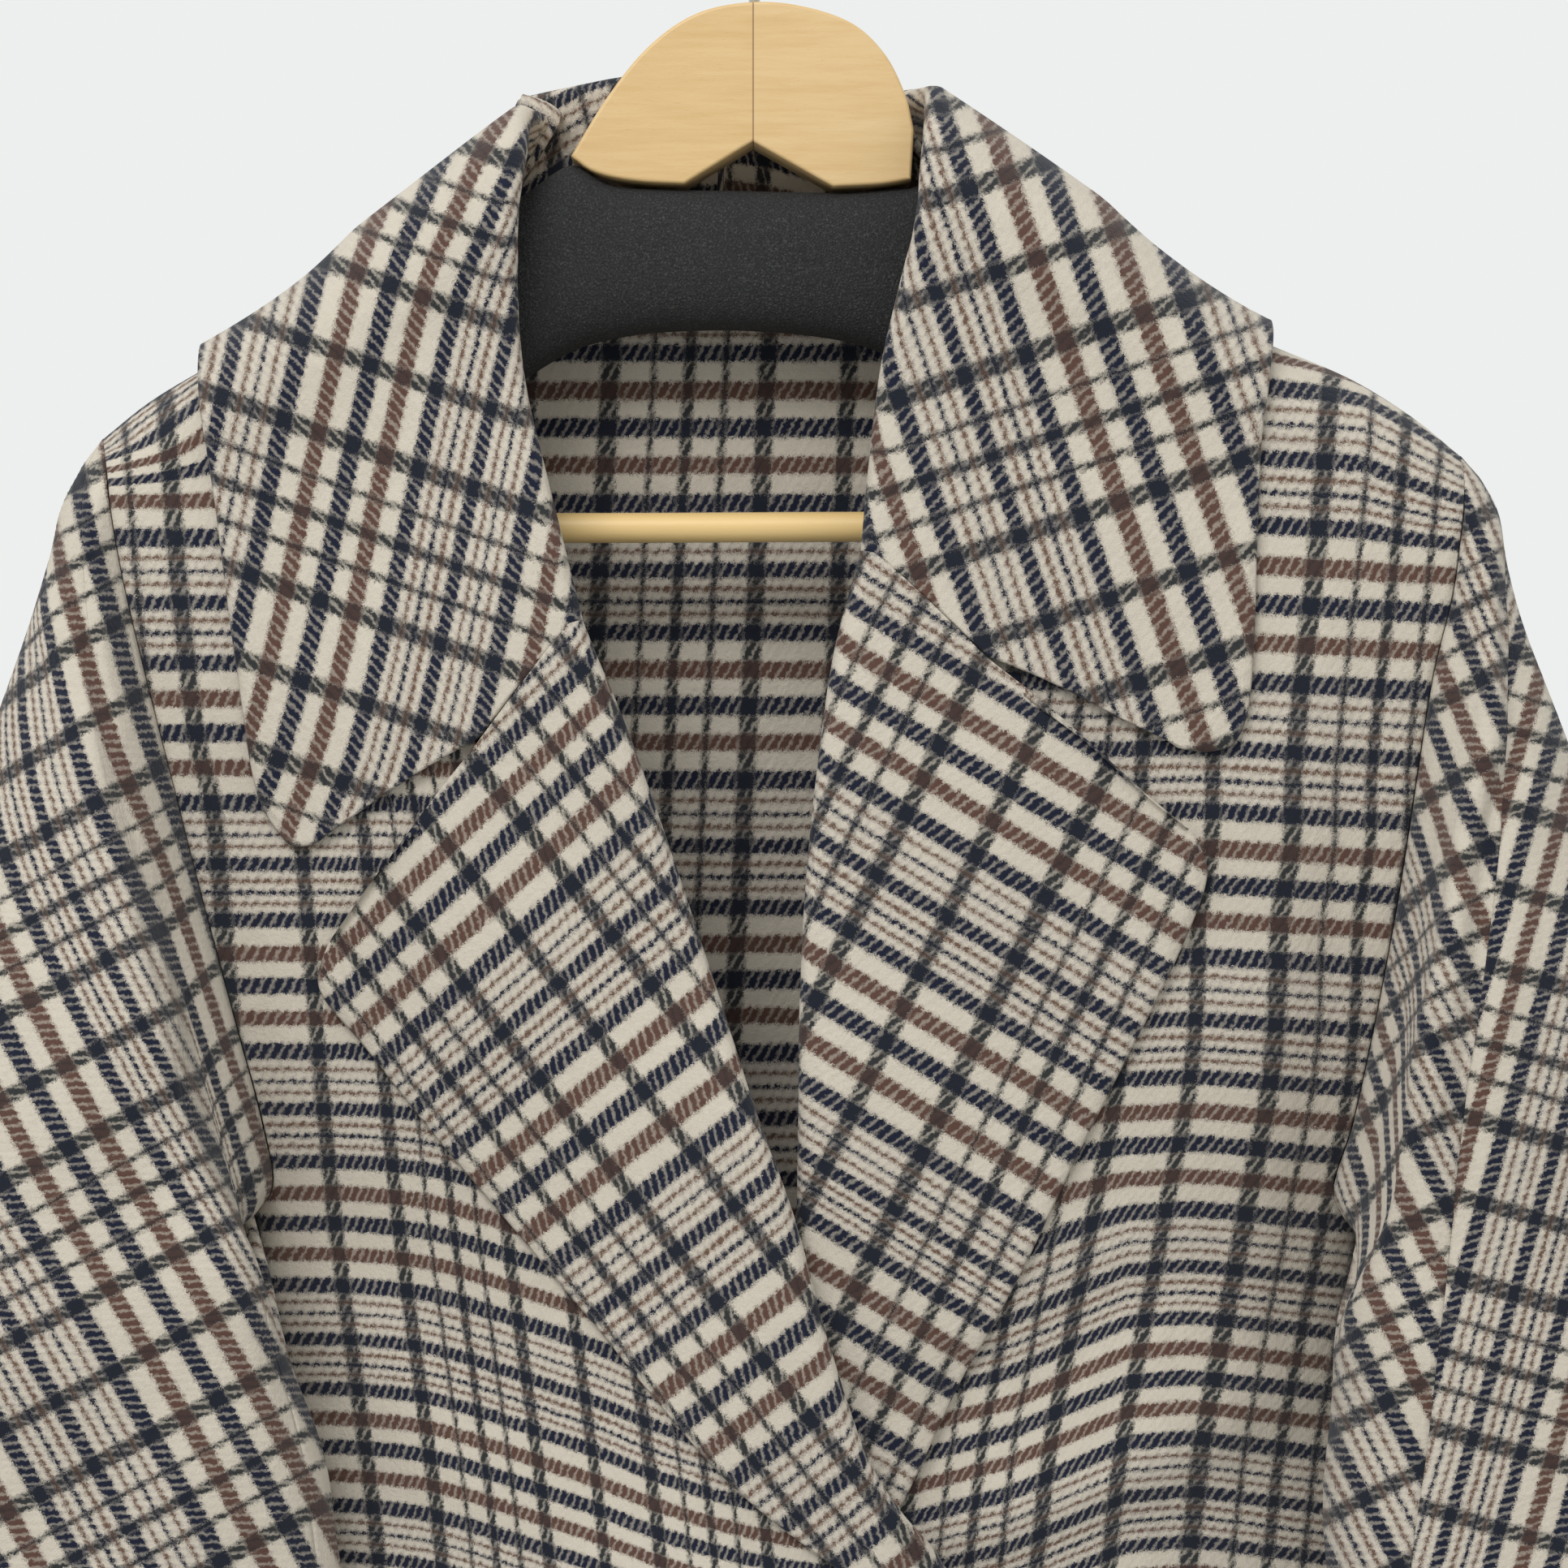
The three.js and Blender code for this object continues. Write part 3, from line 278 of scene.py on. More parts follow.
def body_normal(x, girth, over):
    along_x = body_point(x + 0.5, girth, over) - body_point(x - 0.5, girth, over)
    along_g = body_point(x, girth + 0.5, over) - body_point(x, girth - 0.5, over)
    return unit(np.cross(along_x, along_g))


def flat_level(x, girth):
    """Level of a place once the curve over the shoulder is laid out flat."""
    return ridge(x) - np.abs(girth) + QUARTER - SHOULDER_ROUND


def pixels(x, y, z):
    """Where the camera sees a place, in the photograph's pixels."""
    size = FRAME_WIDTH / FRAME_PIXELS * (y - EYE[1]) / FRAME_DISTANCE
    return 966 + (x - EYE[0]) / size, 966 + (EYE[2] - z) / size


# Shells of cloth

def shell(name, points, normals, cloth, thickness=CLOTH):
    """A closed wall of cloth from a grid of outer points; cloth gives each point's place on the check."""
    rows, cols = points.shape[:2]
    inner = points - normals * thickness
    middle = (points + inner) / 2
    out = np.zeros_like(points)
    out[0] += unit(points[0] - points[1])
    out[-1] += unit(points[-1] - points[-2])
    out[:, 0] += unit(points[:, 0] - points[:, 1])
    out[:, -1] += unit(points[:, -1] - points[:, -2])
    bulge = middle + unit(out) * thickness * 0.36
    loop = ([(0, j) for j in range(cols)] + [(i, cols - 1) for i in range(1, rows)]
            + [(rows - 1, j) for j in range(cols - 2, -1, -1)] + [(i, 0) for i in range(rows - 2, 0, -1)])
    loop = np.array(loop)
    count = rows * cols
    at = np.arange(count).reshape(rows, cols)
    a, b, c, d = at[:-1, :-1], at[1:, :-1], at[1:, 1:], at[:-1, 1:]
    quads = np.stack([a, b, c, d], -1).reshape(-1, 4)
    faces = [quads, quads[:, ::-1] + count]
    ring = at[loop[:, 0], loop[:, 1]]
    rim = 2 * count + np.arange(len(loop))
    after, rim_after = np.roll(ring, -1), np.roll(rim, -1)
    faces.append(np.stack([ring, after, rim_after, rim], -1))
    faces.append(np.stack([rim, rim_after, after + count, ring + count], -1))
    vertices = np.concatenate([points.reshape(-1, 3), inner.reshape(-1, 3), bulge[loop[:, 0], loop[:, 1]]])
    check = np.concatenate([cloth.reshape(-1, 3), cloth.reshape(-1, 3), cloth[loop[:, 0], loop[:, 1]]])
    faces = np.concatenate(faces)
    mesh = bpy.data.meshes.new(name)
    mesh.from_pydata((vertices / 1000).tolist(), [], faces.tolist())
    layer = mesh.attributes.new("cloth", "FLOAT_VECTOR", "POINT")
    layer.data.foreach_set("vector", (check / 1000).astype(np.float32).ravel())
    mesh.update()
    piece = bpy.data.objects.new(name, mesh)
    bpy.context.scene.collection.objects.link(piece)
    outside(mesh)
    smooth(mesh)
    return piece


def outside(mesh):
    """Turns the faces to point out of the wall."""
    co = np.zeros(len(mesh.vertices) * 3)
    mesh.vertices.foreach_get("co", co)
    co = co.reshape(-1, 3)
    faces = np.array([list(p.vertices) for p in mesh.polygons if len(p.vertices) == 4])
    a, b, c, d = (co[faces[:, n]] for n in range(4))
    volume = np.einsum("ij,ij->i", a, np.cross(b, c)).sum() + np.einsum("ij,ij->i", a, np.cross(c, d)).sum()
    if volume < 0:
        mesh.flip_normals()


def smooth(mesh):
    mesh.polygons.foreach_set("use_smooth", [True] * len(mesh.polygons))
    mesh.update()


def grid_normals(points, like):
    """Way out of a grid; like is the way out at its middle."""
    n = unit(np.cross(np.gradient(points, axis=0), np.gradient(points, axis=1)))
    i, j = points.shape[0] // 2, points.shape[1] // 2
    return n if np.dot(n[i, j], like) > 0 else -n


# Panels of the body

def side_edge(row, armhole, side):
    """Place of the armhole or side seam at each row."""
    table = numbered(armhole)
    out = np.sign(armhole[0][0])
    low = Line([(UNDERARM, armhole[UNDERARM][1])] + [(UNDERARM + 1 + n, z) for n, z in enumerate(SIDE_LEVELS)])
    f = np.clip(row / UNDERARM, 0, 1)
    further = 14 * np.sin(np.pi * f) + 12 * ease(f, 0.6, 0.9) * (f < 1)
    top_x = table(np.minimum(row, UNDERARM), 0) + (out * further if side > 0 else 0)
    top_z = table(np.minimum(row, UNDERARM), 1)
    level = low(np.maximum(row, UNDERARM))
    z = np.where(row > UNDERARM, level, top_z)
    x = np.where(row >= UNDERARM, CENTRE + out * body(z, 0), top_x)
    return x, z


def row_place(row, ax, az, bx, bz, f):
    x = mix(ax, bx, f)
    level = mix(az, bz, f)
    sloped = level + ridge(x) - mix(ridge(ax), ridge(bx), f)
    return x, mix(sloped, level, ease(row, 3, UNDERARM))


def front_panel(armhole, edge, over, rows=180, cols=60):
    row = np.linspace(0, ROWS, rows)[:, None]
    even = np.linspace(0, 1, cols)[None, :]
    f = mix(even, 1 - np.cos(np.pi * even / 2), ease(row, 4, UNDERARM))
    ax, az = side_edge(row, armhole, -1)
    inner = numbered(edge)
    x, z = row_place(row, ax, az, inner(row, 0), inner(row, 1), f)
    girth = np.minimum(girth_of(x, z, -1), -SEAM / 2)
    points = body_point(x, girth, over)
    return points, body_normal(x, girth, over), x, girth


def back_panel(rows=180, cols=130):
    row = np.linspace(0, ROWS, rows)[:, None]
    even = np.linspace(0, 1, cols)[None, :]
    bunched = (1 - np.cos(np.pi * even)) / 2
    f = mix(even, bunched, ease(row, 4, UNDERARM + 2))
    ax, az = side_edge(row, ARMHOLE_LEFT, 1)
    bx, bz = side_edge(row, ARMHOLE_RIGHT, 1)
    x, z = row_place(row, ax, az, bx, bz, f)
    neck = Line([(-130, 0), (-100, 1), *[(s[0], s[1]) for s in COLLAR_BACK], (80, 1), (110, 0)])
    top_x = mix(-224, 243, even)
    plain = girth_of(x, z, 1)
    whole = girth_of(x, HEM, 1)
    drop = np.where((top_x > -101) & (top_x < 81), neck(top_x), 0)
    girth = np.maximum(plain + drop * (1 - plain / whole) ** 2, SEAM / 2)
    points = body_point(x, girth, False)
    return points, body_normal(x, girth, False), x, girth


# Rolled collar and lapels

def rolled(x, girth, free_x, free_girth, stand, lean, notch, over, shift, ends, trim, falls=34):
    """Cloth that leaves an edge, rolls over and lies back on the body.
    The edge and the free edge are given station by station; notch bends the fall's path near the seam
    and trim is the share of the fall that a rounded corner takes off."""
    at = body_point(x, girth, over)
    normal = body_normal(x, girth, over)
    past = unit(np.cross(np.gradient(at, axis=0), normal))
    if ends * past[0, 0] < 0:
        past = -past
    angle = np.radians(lean)[:, None]
    stand = stand[:, None]
    grid = []

    def put(a, h):
        grid.append(at + past * a + normal * h)

    put(np.full_like(stand, SEAM), np.full_like(stand, -CLOTH))
    for f in (0.3, 0.65, 1.0):
        put(SEAM + stand * f * np.cos(angle), stand * f * np.sin(angle) - CLOTH)
    centre_a = SEAM + stand * np.cos(angle) - ROLL_OUTSIDE * np.sin(angle)
    centre_h = stand * np.sin(angle) - CLOTH + ROLL_OUTSIDE * np.cos(angle)
    for f in np.linspace(0, 1, 10)[1:]:
        turn = mix(angle, math.pi, f)
        put(centre_a + ROLL_OUTSIDE * np.sin(turn), centre_h - ROLL_OUTSIDE * np.cos(turn))
    for share in np.linspace(0, 1, falls + 1)[1:]:
        f = share * (1 - trim)
        bend = notch * np.interp(f, [0, NOTCH, 1], [0, 1, 0])[:, None]
        px = mix(x, free_x, f) + bend[:, 0]
        pg = mix(girth, free_girth, f) + bend[:, 1]
        lie = LIE + SHOULDER_LIE * np.maximum(1 - np.abs(pg) / SHOULDER_LIE_REACH, 0)
        f = f[:, None]
        height = CLOTH + lie[:, None] + (centre_h + ROLL_OUTSIDE - CLOTH - lie[:, None]) * (1 - f) ** 1.7
        base = body_point(px, pg, over) + body_normal(px, pg, over) * height
        grid.append(base + past * centre_a * np.maximum(1 - f / NOTCH, 0))
    points = np.stack(grid, 1)
    points[:, :, 2] += shift[:, None]
    return points


def corner_trim(x, z, free_x, free_z, radius):
    """Share of each fall that a round corner at the first station takes off."""
    step = np.hypot(np.diff(free_x), np.diff(free_z))
    into = np.clip(radius - np.concatenate([[0], np.cumsum(step)]), 0, radius)
    return (radius - np.sqrt(radius ** 2 - into ** 2)) / np.hypot(free_x - x, free_z - z)


def lapel(edge, shape, notch, over, ends, radius, stations=190):
    last = len(shape) - 1
    q = last * np.linspace(0, 1, stations) ** 1.3
    inner, free = numbered(edge), numbered(shape)
    x, z = inner(q + GORGE, 0), inner(q + GORGE, 1)
    fx, fz = free(q, 0), free(q, 1)
    fade = (1 - q / last) ** 2
    straight = (mix(edge[GORGE][0], shape[0][0], NOTCH), mix(edge[GORGE][1], shape[0][1], NOTCH))
    bend = np.stack([(notch[0] - straight[0]) * fade, (notch[1] - straight[1]) * fade], -1)
    shift = np.where(q == 0, -SEAM, 0)
    return rolled(x, girth_of(x, z, -1), fx, girth_of(fx, fz, -1), np.full(len(q), ROLL_EASE),
                  np.zeros(len(q)), bend, over, shift, ends, corner_trim(x, z, fx, fz, radius))


def collar(stations=340):
    rows = []
    for shape, edge in ((COLLAR_LEFT, EDGE_LEFT), (COLLAR_RIGHT, EDGE_RIGHT)):
        part = []
        for n, (stand, lean, fx, fz) in enumerate(shape):
            x, z = edge[GORGE - n]
            part.append((x, float(girth_of(x, z, -1)), fx, float(girth_of(fx, fz, -1)), stand, lean))
        rows.append(part)
    back = [(neck, girth, fx, float(girth_of(fx, fz, 1)), stand, lean)
            for neck, girth, stand, lean, fx, fz in COLLAR_BACK]
    table = numbered([*rows[0], *back, *rows[1][::-1]])
    last = len(table.at) - 1
    even = np.linspace(-1, 1, stations)
    q = last * (1 + np.sign(even) * (1 - (1 - np.abs(even)) ** 1.25)) / 2
    x, girth, fx, fg, stand, lean = (table(q, n) for n in range(6))
    bend = np.zeros((stations, 2))
    for notch, start, edge, shape in ((LAPEL_LEFT_NOTCH, 0, EDGE_LEFT, COLLAR_LEFT),
                                      (LAPEL_RIGHT_NOTCH, last, EDGE_RIGHT, COLLAR_RIGHT)):
        fade = np.maximum(1 - np.abs(q - start), 0) ** 2
        straight = (mix(edge[GORGE][0], shape[0][2], NOTCH), mix(edge[GORGE][1], shape[0][3], NOTCH))
        bend[:, 0] += (notch[0] - straight[0]) * fade
        bend[:, 1] += (notch[1] - straight[1]) * fade
    shift = np.where((q == 0) | (q == last), SEAM, 0.0)
    trim = corner_trim(x, girth, fx, fg, 7.0) + corner_trim(x[::-1], girth[::-1], fx[::-1], fg[::-1], 13.0)[::-1]
    return rolled(x, girth, fx, fg, stand, lean, bend, False, shift, 1, trim), q


# Sleeves

# Where the camera sees each sleeve's front seam or crease: level and place across, in pixels
LEFT_SLEEVE_CREASE = Line([(560, 96), (708, 97), (815, 122), (948, 148), (1055, 173), (1218, 204), (1400, 262),
                           (1700, 352), (1932, 410), (3900, 640)])
RIGHT_SLEEVE_SEAM = Line([(560, 1838), (657, 1851), (805, 1861), (923, 1866), (999, 1841), (1055, 1830),
                          (1127, 1825), (1224, 1815), (1295, 1807), (1450, 1796), (1600, 1776), (1750, 1764),
                          (1932, 1738), (3900, 1700)])


def sleeve(armhole, sections, rings=110, count=120):
    """Tube from the armhole to the cuff: rings of points, the first at the armhole."""
    out = float(np.sign(armhole[0][0]))
    n = np.linspace(0, 2 * UNDERARM, count, endpoint=False)
    front = n <= UNDERARM
    row = np.where(front, n, 2 * UNDERARM - n)
    joins, ways = np.zeros((count, 3)), np.zeros((count, 3))
    for side, mask in ((-1, front), (1, ~front)):
        x, z = side_edge(row[mask], armhole, side)
        girth = girth_of(x, z, side)
        girth = np.where(row[mask] < 0.01, side * SEAM / 2, girth)
        joins[mask] = body_point(x, girth, False)
        ways[mask] = body_normal(x, girth, False)
    level = ease(row, UNDERARM - 1.2, UNDERARM)
    joins[:, 1] *= 1 - level
    joins[row < 0.01, 1] = 0
    fold = ease(row / UNDERARM, 0.4, 0.95)[:, None]
    outward = np.array([out, 0, 0])
    gap = unit(outward - ways * (ways @ outward)[:, None]) * (1 - fold) + ways * fold
    turn = np.pi * n / UNDERARM
    inner = (1 - np.cos(turn)) / 2
    power = np.where(np.sin(turn) > 0, 0.85, mix(0.85, 1.5, inner))
    push = np.sign(np.sin(turn)) * np.abs(np.sin(turn)) ** power

    def oval(section):
        ox, oy, oz, ix, iy, iz, half = section
        far, near = np.array([ox, oy, oz]), np.array([ix, iy, iz])
        ring = near + (far - near) * ((1 + np.cos(turn)) / 2)[:, None]
        ring[:, 1] -= half * push
        return ring

    first = oval((joins[0, 0], 0, joins[0, 2], joins[count // 2, 0], 0, joins[count // 2, 2], 45))
    table = numbered(sections)
    start = joins + unit(gap) * 0.7
    steps = np.concatenate([np.linspace(0, 2, 14)[:-1], np.linspace(2, 13, rings - 13)])
    tube = []
    for s in steps:
        fade = max(1 - s / 5, 0) ** 1.5
        section = [float(table(max(s - 1, 0), k)) for k in range(7)]
        ring = oval(section) + (joins - first) * fade
        tube.append(ring if s >= 1 else mix(start, ring, s))
    return np.array(tube)


def tube_normals(tube, out):
    around = np.roll(tube, -1, axis=1) - np.roll(tube, 1, axis=1)
    return unit(np.cross(np.gradient(tube, axis=0), around)) * -out


def pressed(tube, out, line):
    """Soft creases, wrinkles and the pleat beside a line that the camera sees on the sleeve's front."""
    ways = tube_normals(tube, out)
    px, py = pixels(tube[..., 0], tube[..., 1], tube[..., 2])
    off = -out * (px - line(py)) * PX
    front = ease(-ways[..., 1], 0.1, 0.6)
    below = ease(np.arange(len(tube)), 5, 26)[:, None]
    pleat = 3.2 * np.exp(-((off - 9) / 8) ** 2) - 3.4 * np.exp(-(off / 4.5) ** 2) + 1.6 * np.exp(-((off + 10) / 8) ** 2)
    upper = ease(py, 600, 760) * (1 - 0.75 * ease(py, 1150, 1700))
    x, y, z = tube[..., 0], tube[..., 1], tube[..., 2]
    drape = 1.8 * np.sin(z / 36 + out * x / 22 + 1.2 * np.sin(z / 71)) * np.sin(x / 31 + y / 40)
    drape += 1.3 * np.sin((z + out * 0.8 * x) / 19 + 2.2 * np.sin(z / 90)) * (0.5 + 0.5 * np.sin(z / 63 + y / 30))
    return tube + ways * ((pleat * upper * front + drape) * below)[..., None]


def opened(tube, line):
    """Grid that goes once round the sleeve from its front seam, which lies on a line the camera sees."""
    rings, count = tube.shape[:2]
    half = count // 2
    px, py = pixels(tube[..., 0], tube[..., 1], tube[..., 2])
    rows = []
    start = np.zeros(rings)
    for n in range(rings):
        beyond = px[n, 4:half - 6] - line(py[n, 4:half - 6])
        past = beyond * np.sign(beyond[0] if beyond[0] else 1)
        cross = np.flatnonzero(past < 0)
        k = cross[0] if len(cross) else (0 if abs(beyond[0]) < abs(beyond[-1]) else half - 11)
        part = 0 if k == 0 or not len(cross) else past[k - 1] / (past[k - 1] - past[k]) - 1
        start[n] = 4 + k + part
    smoothed = np.convolve(np.pad(start, 6, "edge"), np.ones(13) / 13, "valid")
    for n in range(rings):
        at = (smoothed[n] + np.linspace(0, count, count + 1)) % count
        low = np.floor(at).astype(int) % count
        rows.append(mix(tube[n, low], tube[n, (low + 1) % count], (at % 1)[:, None]))
    grid = np.array(rows)
    gap = unit(grid[:, 1] - grid[:, 0]) * SEAM / 2
    grid[:, 0] += gap
    grid[:, -1] -= gap
    return grid


# The check, in millimetres of cloth: v runs across the weft bands, u across the warp stripes
WEFT = 92.9
WARP = 106.1
PX = 0.27


def turned(px, py, degrees, centre):
    """Place along and across bands that lean by degrees from level, falling to the right."""
    a = np.radians(degrees)
    dx, dy = px - centre[0], py - centre[1]
    return dx * np.cos(a) + dy * np.sin(a), -dx * np.sin(a) + dy * np.cos(a)


# Level in pixels against whole repeats of the weft, and the run of one warp stripe down each panel
left_bands = Line([(-30, -2.0), (317, -1), (662, 0), (989, 1), (1295, 2), (1583, 3), (1854, 4), (2115, 5),
                   (2370, 6), (2620, 7), (2870, 8), (3120, 9), (3370, 10), (3620, 11), (3870, 12)])
left_stripe = Line([(100, 180), (645, 212), (904, 239), (980, 257), (1046, 266), (1136, 273), (1225, 280),
                    (1500, 306), (1785, 344), (1900, 358), (2300, 392), (3900, 430)])
left_across = Line([(-500, -208), (0, 292), (105, 393), (184, 494), (315, 685), (384, 786), (800, 1390)])
left_sag = Line([(335, 0), (436, 1), (517, 9), (572, 22), (627, 39), (683, 57), (738, 75), (793, 97), (848, 116),
                 (898, 130), (1000, 150), (1200, 160)])
left_sag_share = Line([(600, 0), (1150, 0.2), (1300, 0.5), (1430, 0.9), (1520, 1), (1950, 1), (2300, 0.5),
                       (3000, 0.1), (3900, 0)])
right_bands = Line([(-280, -3), (100, -2), (473, -1), (838, 0), (1180, 1), (1493, 2), (1776, 3), (2050, 4),
                    (2325, 5), (2585, 6), (2845, 7), (3105, 8), (3365, 9), (3625, 10), (3885, 11)])
right_stripe = Line([(100, 1665), (637, 1626), (939, 1594), (1045, 1591), (1130, 1577), (1216, 1574),
                     (1308, 1568), (1387, 1556), (1460, 1541), (1532, 1528), (1611, 1512), (1690, 1498),
                     (1756, 1485), (1855, 1472), (2300, 1430), (3900, 1400)])
back_bands = Line([(-260, -1.6), (90, -0.55), (435, 0.465), (620, 1), (960, 2), (1296, 3), (1628, 4),
                   (1956, 5), (2280, 6), (2600, 7), (2920, 8), (3240, 9), (3560, 10), (3880, 11)])


def check_place(u, v, mirrored=0.0):
    return np.stack([u, v, np.full_like(u, mirrored)], -1)


def left_front_cloth(points, x, girth):
    px, py = pixels(points[..., 0], points[..., 1], flat_level(x, girth))
    sag = left_sag(px) * left_sag_share(py)
    shoulder = 0.8 * (px - 262) * (1 - ease(py, 535, 620)) * (1 - ease(px, 262, 330))
    v = left_bands(py - sag + shoulder) * WEFT
    return check_place(left_across(px - left_stripe(py)) * PX, v)


def right_front_cloth(points, x, girth):
    px, py = pixels(points[..., 0], points[..., 1], flat_level(x, girth))
    steep = np.interp(py, [600, 1200, 1500, 1850], [0.05, 0.06, 0.1, 0.13])
    slope = steep * (px - 1512) * ease(px, 1400, 1500)
    arch = 0.43 * np.clip(1392 - px, 0, 150) + 0.25 * np.clip(1242 - px, 0, 400)
    shoulder = 0.42 * np.maximum(px - 1680, 0) * (1 - ease(py, 560, 720))
    v = right_bands(py - slope - arch * ease(py, 1300, 1620) - shoulder) * WEFT
    off = px - right_stripe(py)
    scale = np.where(off < -101, 0.87, 1.0)
    u = 101 + np.where(off < -101, -101 + (off + 101) / scale, off)
    return check_place(u * PX, v)


def back_cloth(points, x, girth):
    px, py = pixels(points[..., 0], points[..., 1], flat_level(x, girth))
    drift = 0.053 * (np.clip(py, 300, 1300) - 500)
    return check_place((px - 941 + drift + 292) * PX, back_bands(py) * WEFT)


def arc(points, axis, start=0):
    """Distance along the grid's rows or columns."""
    step = np.linalg.norm(np.diff(points, axis=axis), axis=-1)
    total = np.cumsum(step, axis=axis)
    zero = np.zeros_like(np.take(total, [0], axis=axis))
    total = np.concatenate([zero, total], axis=axis)
    return total - np.take(total, [start], axis=axis)


class Laid:
    """Bands lean by degrees about the centre; across gives the weft's repeats, bow how far a band strays
    along its way, fan how much steeper it lies, and the stripe is a wide one's place, the place across
    where it was read, its drift and the pitch."""

    def __init__(self, degrees, centre, across, stripe, bow=((-900, 0), (900, 0)), fan=((-900, 0), (900, 0)),
                 mirrored=False):
        self.degrees, self.centre, self.stripe, self.mirrored = degrees, centre, stripe, mirrored
        self.across, self.bow, self.fan = Line(across), Line(bow), Line(fan)

    def __call__(self, px, py):
        along, across = turned(px, py, self.degrees, self.centre)
        straight = across - self.bow(along) + self.fan(across) * along
        place, read_at, drift, pitch = self.stripe
        u = (along - place - drift * (across - read_at)) / pitch * WARP
        return check_place(u, self.across(straight) * WEFT, float(self.mirrored))


ON_LAPEL_LEFT = Laid(-38.5, (700, 1250), [(-1335, -3.535), (-297, -0.535), (-210, -0.269), (-115, 0), (-37, 0.241),
                     (38, 0.465), (131, 0.731), (230, 1), (311, 1.241), (391, 1.465), (2120, 6.465)],
                     (12, 0, 0, 354), fan=((-900, 0.09), (-250, 0.09), (-115, 0.075), (38, 0.03), (200, 0), (900, 0)))
ON_LAPEL_RIGHT = Laid(31, (1200, 1180), [(-1346, -3.535), (-296, -0.535), (-202, -0.269), (-110, 0), (-26, 0.241),
                      (50, 0.465), (144, 0.731), (240, 1), (316, 1.241), (378, 1.465), (2128, 6.465)],
                      (-68, -156, 0.09, 393))
ON_COLLAR_LEFT = Laid(104, (440, 620), [(-1160, -3), (-206, 0), (-136, 0.241), (-65, 0.465), (20, 0.731), (110, 1),
                      (190, 1.241), (265, 1.465), (1985, 6.465)], (-161, -69, -0.105, 397),
                      bow=((-800, -150), (-490, -32), (-425, -16), (-378, -9), (-300, 3), (-200, 5), (0, 0),
                           (150, -6), (300, -5), (400, 6), (900, 20)))
ON_COLLAR_RIGHT = Laid(71, (1310, 540), [(-1578, 4.465), (-289, 1.241), (-198, 1), (-91, 0.731), (10, 0.465),
                       (90, 0.241), (176, 0), (223, -0.137), (1950, -5.137)], (-222, 0, 0, 426), mirrored=True)
ON_SLEEVE_LEFT = Laid(62, (160, 1360), [(-1174, -3), (-134, 0), (-60, 0.241), (3, 0.465), (92, 0.731), (185, 1),
                      (265, 1.241), (340, 1.465), (2000, 6.465)], (-80, 0, 0, 360),
                      bow=((-1300, -300), (-700, -75), (-520, -32), (-400, -8), (-300, 0), (0, 0), (150, -8),
                           (283, -14), (520, -20), (1400, -20)))
ON_SLEEVE_RIGHT_FRONT = Laid(63, (1771, 924), [(-1640, -4.269), (0, 0.731), (91, 1), (1730, 6)], (40, 0, 0, 370))
ON_SLEEVE_RIGHT_BEHIND = Laid(106, (1860, 1095), [(-1400, 5.731), (0, 0.731), (1400, -4.269)], (0, 0, 0, 380),
                              mirrored=True)


def lapel_cloth(points, laid, side):
    px, py = pixels(points[..., 0], points[..., 1], points[..., 2])
    before = np.clip(-arc(points, 1, ROLLED), 0, None)
    unseen = before > 0
    px = np.where(unseen, px[:, ROLLED:ROLLED + 1] + side * before / PX, px)
    py = np.where(unseen, py[:, ROLLED:ROLLED + 1], py)
    return laid(px, py)


# Column of the collar and lapels on which the roll ends, and the share of the repeat that it is even about
ROLLED = 12
MIRROR = 0.731


def collar_cloth(points, q):
    """Laid flat on both fronts, and carried on by the cloth's length to a seam at the back of the neck."""
    px, py = pixels(points[..., 0], points[..., 1], points[..., 2])
    cloth = np.zeros((*px.shape, 3))
    middle = len(q) // 2
    seen = 8.2
    for laid, rows in ((ON_COLLAR_LEFT, np.arange(middle)), (ON_COLLAR_RIGHT, np.arange(len(q) - 1, middle - 1, -1))):
        part = laid(px[rows], py[rows])
        station = np.abs(q[rows] - q[rows[0]])
        last = int(np.searchsorted(station, seen))
        run = arc(points[rows], 0, last)
        run = np.minimum(run, run[:, 20:21] * 1.15 + 2)
        part[last:, :, 0] = part[last, :, 0] - run[last:]
        # Behind the shoulder the bands keep the width that they are woven in
        fall = arc(points[rows], 1, ROLLED)[last:]
        way = np.sign(part[last, -1, 1] - part[last, ROLLED, 1])
        woven = part[last, ROLLED, 1] + way * np.clip(fall, 0, None)
        turn = ease(station[last:], seen, seen + 1.8)[:, None]
        part[last:, :, 1] = mix(part[last, :, 1], woven, turn)
        across = arc(points[rows], 1, ROLLED)[:, :ROLLED]
        part[:, :ROLLED, 1] = part[:, ROLLED:ROLLED + 1, 1] + across
        part[:, :ROLLED, 0] = part[:, ROLLED:ROLLED + 1, 0]
        cloth[rows] = part
    # Both halves mirror each other at the seam
    roll = [cloth[n, ROLLED, 1] for n in (middle - 1, middle)]
    miss = (2 * MIRROR * WEFT - sum(roll) + WEFT / 2) % WEFT - WEFT / 2
    behind = ease(np.minimum(q - q[0], q[-1] - q), seen, q[middle])[:, None]
    cloth[..., 1] += miss / 2 * behind
    return cloth


# Rings of a sleeve on either side over which the cloth's width is evened
STEADY = 9


